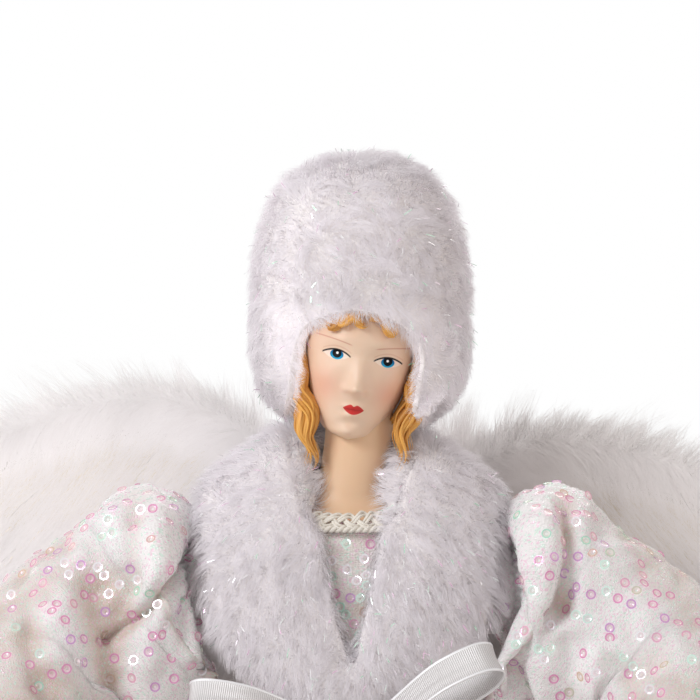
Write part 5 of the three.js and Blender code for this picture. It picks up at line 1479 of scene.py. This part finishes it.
def make_down(side, word):
    """A roll of down along the wing's leading edge, and down over its feathers."""
    rng = rng_for(word + "_wing")
    look = (down, word + "_wing", "down")
    edge = [[x, 0, z] for x, z in WING_LEADING_EDGE]
    stops = 60
    t = np.linspace(0.08, 1, stops)
    line = catmull(edge, t)
    along = unit(np.gradient(line, axis=0))
    out = np.stack([-along[:, 2], 0 * t, along[:, 0]], 1)
    radius = 6.6 * lerp(0.5, 1, np.sin(math.pi * np.linspace(0.1, 0.95, stops)))
    middle = line + out * (1.7 + radius)[:, None]
    core, core_quads = pipe(middle, 0.5 * radius, 14, upright=(0, 1, 0))
    core = in_wing(core, side)
    tone = np.full(len(core), 0.9)
    piece(word + "_down_roll", core, outward(core, core_quads), look, [word + "_marabou"], tone=tone)

    def stray(amount, count):
        return amount * rng.normal(size=(count, 3))

    def barbs(name, roots, leave, comb, facing, lengths, tuft, share):
        count = len(roots)
        bend = rng.uniform(0.4, 0.95, count)
        lines = strand_lines(roots, unit(leave), unit(comb), lengths, bend, rng, 4, wave=0.07)
        lines = clumped(lines, roots, tuft, rng.uniform(*share, count), rng)
        placed = in_wing(lines.reshape(-1, 3), side).reshape(lines.shape)
        facing = in_wing(roots + facing, side) - in_wing(roots, side)
        width, tone = rng.uniform(0.1, 0.2, count), rng.uniform(0.8, 1.0, count)
        strands(f"{word}_{name}", placed, width, facing, look, rng, 0.06, 0.06, tone=tone)

    def round_the_roll(count, low=0, high=stops):
        k = rng.integers(low, high, count)
        spin = rng.uniform(0, TAU, count)
        ring = out[k] * np.cos(spin)[:, None] + np.array([0, 1, 0]) * np.sin(spin)[:, None]
        return k, ring, middle[k] + ring * (0.45 * radius[k])[:, None] + rng.normal(0, 0.8, (count, 3))

    # The down of one wing lies along it, that of the other stands up in tufts
    standing = side > 0
    forward, upward, share = (0.7, 0.75, (0.35, 0.9)) if standing else (1.0, 0.35, (0.1, 0.5))
    k, ring, roots = round_the_roll(ROLL_BARBS)
    leave = ring + stray(0.4, ROLL_BARBS)
    comb = forward * along[k] + upward * out[k] + stray(0.3, ROLL_BARBS)
    barbs("roll_barbs", roots, leave, comb, ring, rng.uniform(5, 9.5, ROLL_BARBS), 46, share)
    # A cover of longer down, which falls from the roll to the front and to the back
    for face, name in ((-1, "front_cover"), (1, "back_cover")):
        count = COVER_BARBS
        k = rng.integers(0, stops, count)
        ring = unit(np.array([0, face * 1.0, 0]) - out[k] * rng.uniform(-0.6, 1.0, count)[:, None])
        roots = middle[k] + ring * (0.5 * radius[k])[:, None] + rng.normal(0, 0.8, (count, 3))
        over = -0.8 * out[k] + 0.6 * along[k] + stray(0.25, count)
        facing = np.array([0, face, 0.15])
        barbs(name, roots, ring + 0.6 * over, over, facing, rng.uniform(11, 17, count), 60, (0.1, 0.5))
    k, ring, roots = round_the_roll(WISPS)
    leave = out[k] + 0.5 * along[k] + stray(0.35, WISPS)
    barbs("wisps", roots, leave, along[k] + out[k], ring, rng.uniform(8, 15, WISPS), 34, (0.45, 0.9))
    if standing:
        k, ring, roots = round_the_roll(TUFT_BARBS, 5, 11)
        leave = np.array([0.1, 0, 1.0]) + stray(0.2, TUFT_BARBS)
        barbs("tuft", roots, leave, leave, ring, rng.uniform(12, 20, TUFT_BARBS), 120, (0.3, 0.8))
    # Down over the feathers, front and back
    lower = [[x, 0, z] for x, z in WING_TRAILING_EDGE[::-1]]
    for face, name, count, deep in ((-1, "front_down", 30000, 0.95), (1, "back_down", 14000, 0.6)):
        u, v = rng.random(count), rng.random(count) ** 0.8 * deep
        top, bottom = catmull(edge, 0.03 + 0.97 * u), catmull(lower, u)
        roots = lerp(top, bottom, v[:, None])
        roots[:, 1] = face * (2.6 + 1.2 * rng.random(count))
        comb = unit(bottom - top) + np.array([0.75, 0, 0]) + stray(0.2, count)
        leave = unit(np.array([0, face * 0.6, 0]) + 0.8 * unit(comb) + stray(0.15, count))
        facing = np.array([0, face, 0.15])
        barbs(name, roots, leave, comb, facing, rng.uniform(12, 20, count), 60, (0.1, 0.5))


# Finishes of the pieces that keep their CAD shape


def make_finishes():
    steel_finish = {"stretch": (1.0, 1.0, 0.2), "polish": (0.25, 0.25), "Metallic": 1.0}
    steel = two_tone("steel_wire", (168, 164, 156), (214, 211, 204), 700.0, 4.0, **steel_finish)
    hand_finish = {"bump": (0.1, 0.2), "Roughness": 0.42, "Specular_IOR_Level": 0.4}
    hand_paint = two_tone("doll_hand", (231, 196, 166), (238, 207, 179), 160.0, 3.0, **hand_finish)
    card_finish = {"bump": (0.25, 0.2), "stretch": (1.0, 1.0, 0.25), "Roughness": 0.9}
    card = two_tone("card", (214, 205, 190), (238, 232, 220), 420.0, 5.0, **card_finish)
    felt_finish = {"bump": (0.5, 0.4), "roughness": 0.7, "Roughness": 0.95, "Sheen_Weight": 0.4}
    felt = two_tone("felt", (220, 211, 197), (243, 237, 227), 900.0, 5.0, **felt_finish)
    finishes = {"wing_yoke": steel, "support_cone": card, "torso_form": card}
    for _, word in SIDES:
        finishes |= {word + "_wing_wire": steel, word + "_arm_core": steel}
        finishes |= {word + "_wing_board": felt, word + "_hand": hand_paint}
        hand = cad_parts[word + "_hand"]
        modify(hand, "even", "REMESH", mode="VOXEL", voxel_size=0.35 * MM, use_smooth_shade=True)
        modify(hand, "soft", "SMOOTH", factor=0.5, iterations=5)
    for node, material in finishes.items():
        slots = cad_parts[node].data.materials
        slots.clear()
        slots.append(material)


# Camera, light and floor

CAMERA_HEIGHT, CAMERA_DISTANCE, CAMERA_TILT = 0.3434, 1.2, math.radians(2.0)  # metres, radians
LIGHT_TARGET = (0, 0, 0.3)
FLOOR_HALF = 1300.0
# Name, place, size, power and colour
LIGHTS = (
    ("key", (-0.85, -0.66, 0.95), 0.45, 8.6, (0.94, 0.97, 1.0)),
    ("side", (-1.2, -0.25, 0.65), 0.6, 1.2, (1, 1, 1)),
    ("fill", (1.15, -0.4, 0.55), 0.8, 2.8, (1, 0.95, 0.9)),
    ("rim", (0.2, 0.9, 0.9), 0.6, 3.6, (1, 1, 1)),
)
ROOM, WHITE = ((1.0, 0.935, 0.89, 1), 0.44), ((1, 1, 1, 1), 1.0)  # colour and strength


def put(name, data, place, target):
    """Puts a camera or a light at a place, looking at a target."""
    made = bpy.data.objects.new(name, data)
    bpy.context.scene.collection.objects.link(made)
    made.location = place
    made.rotation_euler = (Vector(target) - made.location).to_track_quat("-Z", "Y").to_euler()
    return made


def make_world():
    """Soft light from all round. The camera, and what mirrors or lets light through, see white instead."""
    world = bpy.data.worlds.new("studio")
    bpy.context.scene.world = world
    world.use_nodes = True
    nodes, links = world.node_tree.nodes, world.node_tree.links
    pick = nodes.new("ShaderNodeMixShader")
    room, white = nodes["Background"], nodes.new("ShaderNodeBackground")
    for background, look, target in ((room, ROOM, pick.inputs[1]), (white, WHITE, pick.inputs[2])):
        background.inputs["Color"].default_value, background.inputs["Strength"].default_value = look
        links.new(background.outputs[0], target)
    rays = nodes.new("ShaderNodeLightPath").outputs
    seen = rays["Is Camera Ray"]
    for kind in ("Is Glossy Ray", "Is Transmission Ray"):
        either = nodes.new("ShaderNodeMath")
        either.operation, either.use_clamp = "ADD", True
        links.new(seen, either.inputs[0])
        links.new(rays[kind], either.inputs[1])
        seen = either.outputs[0]
    links.new(seen, pick.inputs[0])
    links.new(pick.outputs[0], nodes["World Output"].inputs["Surface"])


def make_studio():
    scene = bpy.context.scene
    scene.view_settings.view_transform = "Standard"
    back, up = CAMERA_DISTANCE * math.cos(CAMERA_TILT), CAMERA_DISTANCE * math.sin(CAMERA_TILT)
    lens = bpy.data.cameras.new("camera")
    lens.sensor_width, lens.lens = 36.0, 216.0
    scene.camera = put("camera", lens, (0, -back, CAMERA_HEIGHT + up), (0, 0, CAMERA_HEIGHT))
    for name, place, size, power, colour in LIGHTS:
        lamp = bpy.data.lights.new(name, "AREA")
        lamp.size, lamp.energy, lamp.color = size, power, colour
        put(name, lamp, place, LIGHT_TARGET)
    make_world()
    corners = np.array([[-1, -1, 0], [1, -1, 0], [1, 1, 0], [-1, 1, 0]]) * FLOOR_HALF
    floor = bpy.data.objects.new("floor", mesh_data("floor", corners, [[0, 1, 2, 3]]))
    scene.collection.objects.link(floor)
    floor.data.materials.append(Shader("floor", Roughness=0.9, Base_Color=(240, 238, 236)).material)


make_bust()
make_hair()
make_fur()
make_bodice()
make_braid()
make_skirt()
make_petticoat()
make_bow()
make_waistband()
for side, word in SIDES:
    make_sleeve(side, word)
for side, word in SIDES:
    make_feathers(side, word)
    make_down(side, word)
make_finishes()
make_studio()
